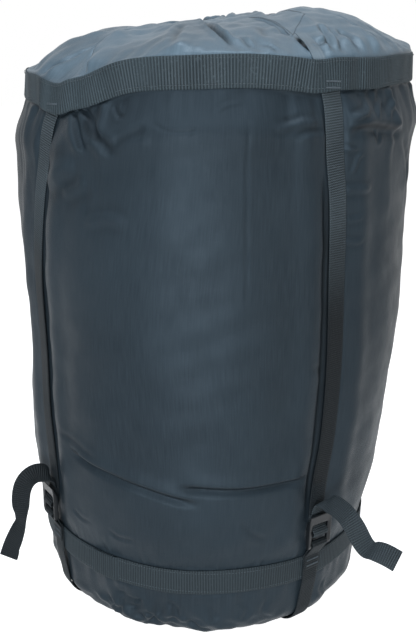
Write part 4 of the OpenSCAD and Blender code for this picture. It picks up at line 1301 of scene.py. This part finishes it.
def makeLadderLock(key):
    az = float(strapAz[key])
    body, u, v = newSheet("ladderLock_" + key, len(lockX) - 1, len(lockZ) - 1)
    x = lockX[np.round(u * (len(lockX) - 1)).astype(int)]
    z = lockZ[np.round(v * (len(lockZ) - 1)).astype(int)]
    layPoints(body, np.stack([x, np.zeros(len(x)), z], -1))
    # cut the two windows
    pick(body)
    bpy.ops.object.mode_set(mode="EDIT")
    bpy.ops.mesh.select_all(action="DESELECT")
    bpy.ops.object.mode_set(mode="OBJECT")
    for face in body.data.polygons:
        cx, cz = face.center[0] / mm, face.center[2] / mm
        face.select = abs(cx) < lock["inner"] and any(low < cz < high for low, high in lock["windows"])
    bpy.ops.object.mode_set(mode="EDIT")
    bpy.ops.mesh.select_mode(type="FACE")
    bpy.ops.mesh.delete(type="FACE")
    bpy.ops.mesh.select_all(action="SELECT")
    bpy.ops.mesh.extrude_region_move(TRANSFORM_OT_translate={"value": (0, 2 * lock["deep"] * mm, 0)})
    bpy.ops.object.mode_set(mode="OBJECT")
    x, y, z = (readPoints(body) / mm).T
    out = lockFace(x, z, y < lock["deep"])
    layPoints(body, spots(az, lockRadius(az) + out, hingeZ + z, x))
    turnOutward(body)
    applyModifier(body, "BEVEL", width=lock["edge"] * mm, segments=2, limit_method="ANGLE",
                  angle_limit=math.radians(50))
    applyModifier(body, "SUBSURF", levels=2, render_levels=2)
    smooth(body)
    finishPiece(body, "black_plastic", "lock_" + key, ("ladder_lock_" + key,))


for key in strapAz:
    makeLadderLock(key)
print("ladder locks moulded")


# stitches: one stitch, repeated along a line and bent to it
stitches = {"upper": {"pitch": 3.2, "length": 2.5, "thick": 0.55},
            "lower": {"pitch": 3.0, "length": 2.2, "thick": 0.6},
            "flap": {"pitch": 3.0, "length": 2.5, "thick": 0.7}}


def stitchLine(name, path, pitch, length, thick):
    deselectAll()
    bpy.ops.mesh.primitive_uv_sphere_add(segments=6, ring_count=4, radius=1)
    stitch = bpy.context.object
    stitch.name = name
    points = readPoints(stitch)[:, [2, 0, 1]]
    layPoints(stitch, points * np.array([length / 2, thick / 2, thick / 2]) + np.array([length / 2, 0, 0]))
    run = runAlong(path)[-1]
    line = bpy.data.curves.new(name + "Line", "CURVE")
    line.dimensions = "3D"
    spline = line.splines.new("POLY")
    spline.points.add(len(path) - 1)
    spline.points.foreach_set("co", np.column_stack([path * mm, np.ones(len(path))]).ravel())
    guide = bpy.data.objects.new(name + "Line", line)
    bpy.context.collection.objects.link(guide)
    applyModifier(stitch, "ARRAY", count=int(run / pitch), use_relative_offset=False,
                  use_constant_offset=True, constant_offset_displace=(pitch * mm, 0, 0))
    applyModifier(stitch, "CURVE", object=guide, deform_axis="POS_X")
    bpy.data.objects.remove(guide)
    turnOutward(stitch)
    smooth(stitch)
    return stitch


def makeStitches():
    az = np.linspace(41, 41 + 358, 900)
    out = ringFaceR(az) + webT - 0.1
    middle = ringZ(az) + ringWander(az)
    rows = [stitchLine(name, spots(az, out, middle + up), **stitches["upper"])
            for name, up in (("upperLow", -9.6), ("upperHigh", 10.4))]
    finishPiece(joinPieces(rows, "upperRingStitches"), "thread", "top")
    az = np.linspace(-27, -27 + 352, 900)
    out = form["lowerR"] + 0.3 + webT - 0.05
    rows = [stitchLine(name, spots(az, out, z), **stitches["lower"])
            for name, z in (("lowerLow", 67.2), ("lowerHigh", 87.0))]
    finishPiece(joinPieces(rows, "lowerRingStitches"), "thread", "sack")
    rows = []
    # rows on the hem flap, dropped from above onto the throat
    for edge, shifts in (("upper", (0, 2.2)), ("end", (0,)), ("lower", (0, -2.2))):
        line = curveThrough(flapLine[edge], 1.0)
        ahead = unit(np.gradient(line, axis=0))
        for shift in shifts:
            plan = line + shift * np.stack([ahead[:, 1], -ahead[:, 0]], -1)
            hits = [throatCloth.ray_cast((x * mm, y * mm, 0.7), (0, 0, -1))[1] for x, y in plan]
            path = np.array([tuple(hit) for hit in hits]) / mm + np.array([0, 0, 0.12])
            rows.append(stitchLine("flap_" + edge, path, **stitches["flap"]))
    finishPiece(joinPieces(rows, "flapStitches"), "thread", "top")


makeStitches()


# bartacks: a dense zigzag bar, copied to each strap
bartack = {"long": 15, "wide": 1.6}


def makeBartacks(name, nodes, body, places):
    bars = []
    for az, r, z in places:
        bar, u, v = newSheet(name, 60, 6)
        zigzag = np.cos(u * 2 * math.pi * 20)
        height = 0.5 * np.sqrt(np.clip(1 - (2 * v - 1) ** 4, 0, 1)) * (1 + 0.35 * zigzag)
        rise = (v - 0.5) * bartack["wide"] + 0.22 * zigzag * (2 * v - 1)
        layPoints(bar, spots(az, r - 0.15 + height, z + rise, (u - 0.5) * bartack["long"]))
        scaleUv(bar, bartack["long"], bartack["wide"])
        applyModifier(bar, "SOLIDIFY", thickness=0.2 * mm, offset=-1)
        smooth(bar)
        bars.append(bar)
    finishPiece(joinPieces(bars, name), "thread", body, nodes)


makeBartacks("upperBartacks", ("upper_bartacks",), "top",
             [(az, float(ringFaceR(az)) + webT + 0.15, float(ringZ(az)) + up)
              for az in (float(strapAt(key, atRingZ)) for key in strapAz) for up in (-9, -4)])
makeBartacks("lowerBartacks", ("lower_bartacks",), "sack",
             [(az, baseStrap["overRingR"] + webT * 1.5 + 0.35, form["lowerZ"] + up)
              for az in strapAz.values() for up in (3, 9)])
print("stitches and bartacks sewn")


# woven tab, blank, tucked under the upper ring
wovenTab = {"az": 26.5, "wide": 12, "cloth": 0.6}


def makeTab():
    tab, u, v = newSheet("wovenTab", 30, 60)
    rim = float(ringZ(wovenTab["az"])) + halfRing
    line = [[190.6, rim - 8], [191.0, rim - 2], [190.2, rim + 2.5]]
    for share in np.linspace(0.975, 0.875, 6):
        x, y, z = throatPoint(wovenTab["az"], share)
        line.append([math.hypot(x, y) + 0.8, z + 1.6])
    path = curveThrough(line, 0.5)
    out, z = columnsAt(v * (len(path) - 1), np.arange(len(path)), path).T
    lift = 0.5 * np.sin(v * 7) * (u - 0.5) + 0.5 * ease((v - 0.75) / 0.25)
    layPoints(tab, spots(wovenTab["az"], out, z + lift, (u - 0.5) * wovenTab["wide"]))
    scaleUv(tab, 15, 32)
    applyModifier(tab, "SOLIDIFY", thickness=wovenTab["cloth"] * mm, offset=0)
    smooth(tab, 40)
    finishPiece(tab, "woven_tab", "top", ("woven_tab",))


makeTab()


# cord lock: CAD parts with their edges eased
def easeSolid(node, name, width, body):
    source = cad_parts[node]
    deselectAll()
    copy = source.copy()
    copy.data = source.data.copy()
    copy.name = name
    copy.data.name = name
    copy.parent = None
    bpy.context.collection.objects.link(copy)
    weld(copy, 0.002)
    applyModifier(copy, "DECIMATE", decimate_type="DISSOLVE", angle_limit=math.radians(2))
    applyModifier(copy, "BEVEL", width=width * mm, segments=3, limit_method="ANGLE",
                  angle_limit=math.radians(35))
    smooth(copy, 35)
    finishPiece(copy, "black_plastic", body, (node,))


easeSolid("cord_lock_barrel", "cordLockBarrel", 0.5, "cord_lock")
easeSolid("cord_lock_plunger", "cordLockPlunger", 0.4, "lock_button")
for node, label in (("cord_lock_spring", "spring_steel"), ("drawcord_ring", "drawcord")):
    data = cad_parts[node].data
    data.materials.clear()
    data.materials.append(materials[label])
print("cord lock fitted")

# floor, world and lamps
studio = {"worldLevel": 0.16, "floorGlow": 0.97, "floorGrey": 0.5, "floorWide": 30}
deselectAll()
bpy.ops.mesh.primitive_plane_add(size=studio["floorWide"])
floor = bpy.context.object
floor.name = "floor"


# 1 where the background is seen straight, in a reflection or through something clear
def seenShare(tree):
    path = tree.nodes.new("ShaderNodeLightPath")
    total = mathNode(tree, "ADD", path.outputs["Is Camera Ray"], path.outputs["Is Glossy Ray"])
    return mathNode(tree, "ADD", total, path.outputs["Is Transmission Ray"], clamp=True)


floorPaint = bpy.data.materials.new("floorPaint")
floorPaint.use_nodes = True
tree = floorPaint.node_tree
paint = tree.nodes["Principled BSDF"]
paint.inputs["Base Color"].default_value = (*[studio["floorGrey"]] * 3, 1)
paint.inputs["Roughness"].default_value = 0.9
paint.inputs["Specular IOR Level"].default_value = 0
paint.inputs["Emission Color"].default_value = (1, 1, 1, 1)
glow = mathNode(tree, "MULTIPLY", seenShare(tree), studio["floorGlow"])
tree.links.new(glow, paint.inputs["Emission Strength"])
floor.data.materials.append(floorPaint)

world = bpy.data.worlds.new("studioWorld")
bpy.context.scene.world = world
world.use_nodes = True
tree = world.node_tree
sky = tree.nodes["Background"]
sky.inputs["Color"].default_value = (1, 1, 1, 1)
tree.links.new(rangeNode(tree, seenShare(tree), 0, 1, studio["worldLevel"], 1.0), sky.inputs["Strength"])

lamps = {  # place, aim, size, power, colour
    "frontPanel": ((-0.2, -1.5, 0.16), (0, 0, 0.25), (0.4, 0.55), 28, (0.9, 0.95, 1.0)),
    "highPanel": ((-0.2, -1.5, 1.5), (0, 0, 0.5), (1.3, 0.3), 28, (0.84, 0.92, 1.0)),
    "overhead": ((0.0, -0.3, 2.1), (0, 0, 0.5), (0.9, 0.7), 32, (0.84, 0.92, 1.0)),
    "warmFill": ((1.0, -1.4, 0.12), (0, 0, 0.15), (0.6, 0.2), 4, (1.0, 0.8, 0.62)),
}
for name, (place, aim, size, power, colour) in lamps.items():
    deselectAll()
    bpy.ops.object.light_add(type="AREA", location=place)
    light = bpy.context.object
    light.name = name
    light.data.shape = "RECTANGLE"
    light.data.size, light.data.size_y = size
    light.data.energy = power
    light.data.color = colour
    toward = Matrix.Translation(aim).translation - light.location
    light.rotation_euler = toward.to_track_quat("-Z", "Y").to_euler()
bpy.context.scene.view_settings.view_transform = "Standard"
print("studio lit")
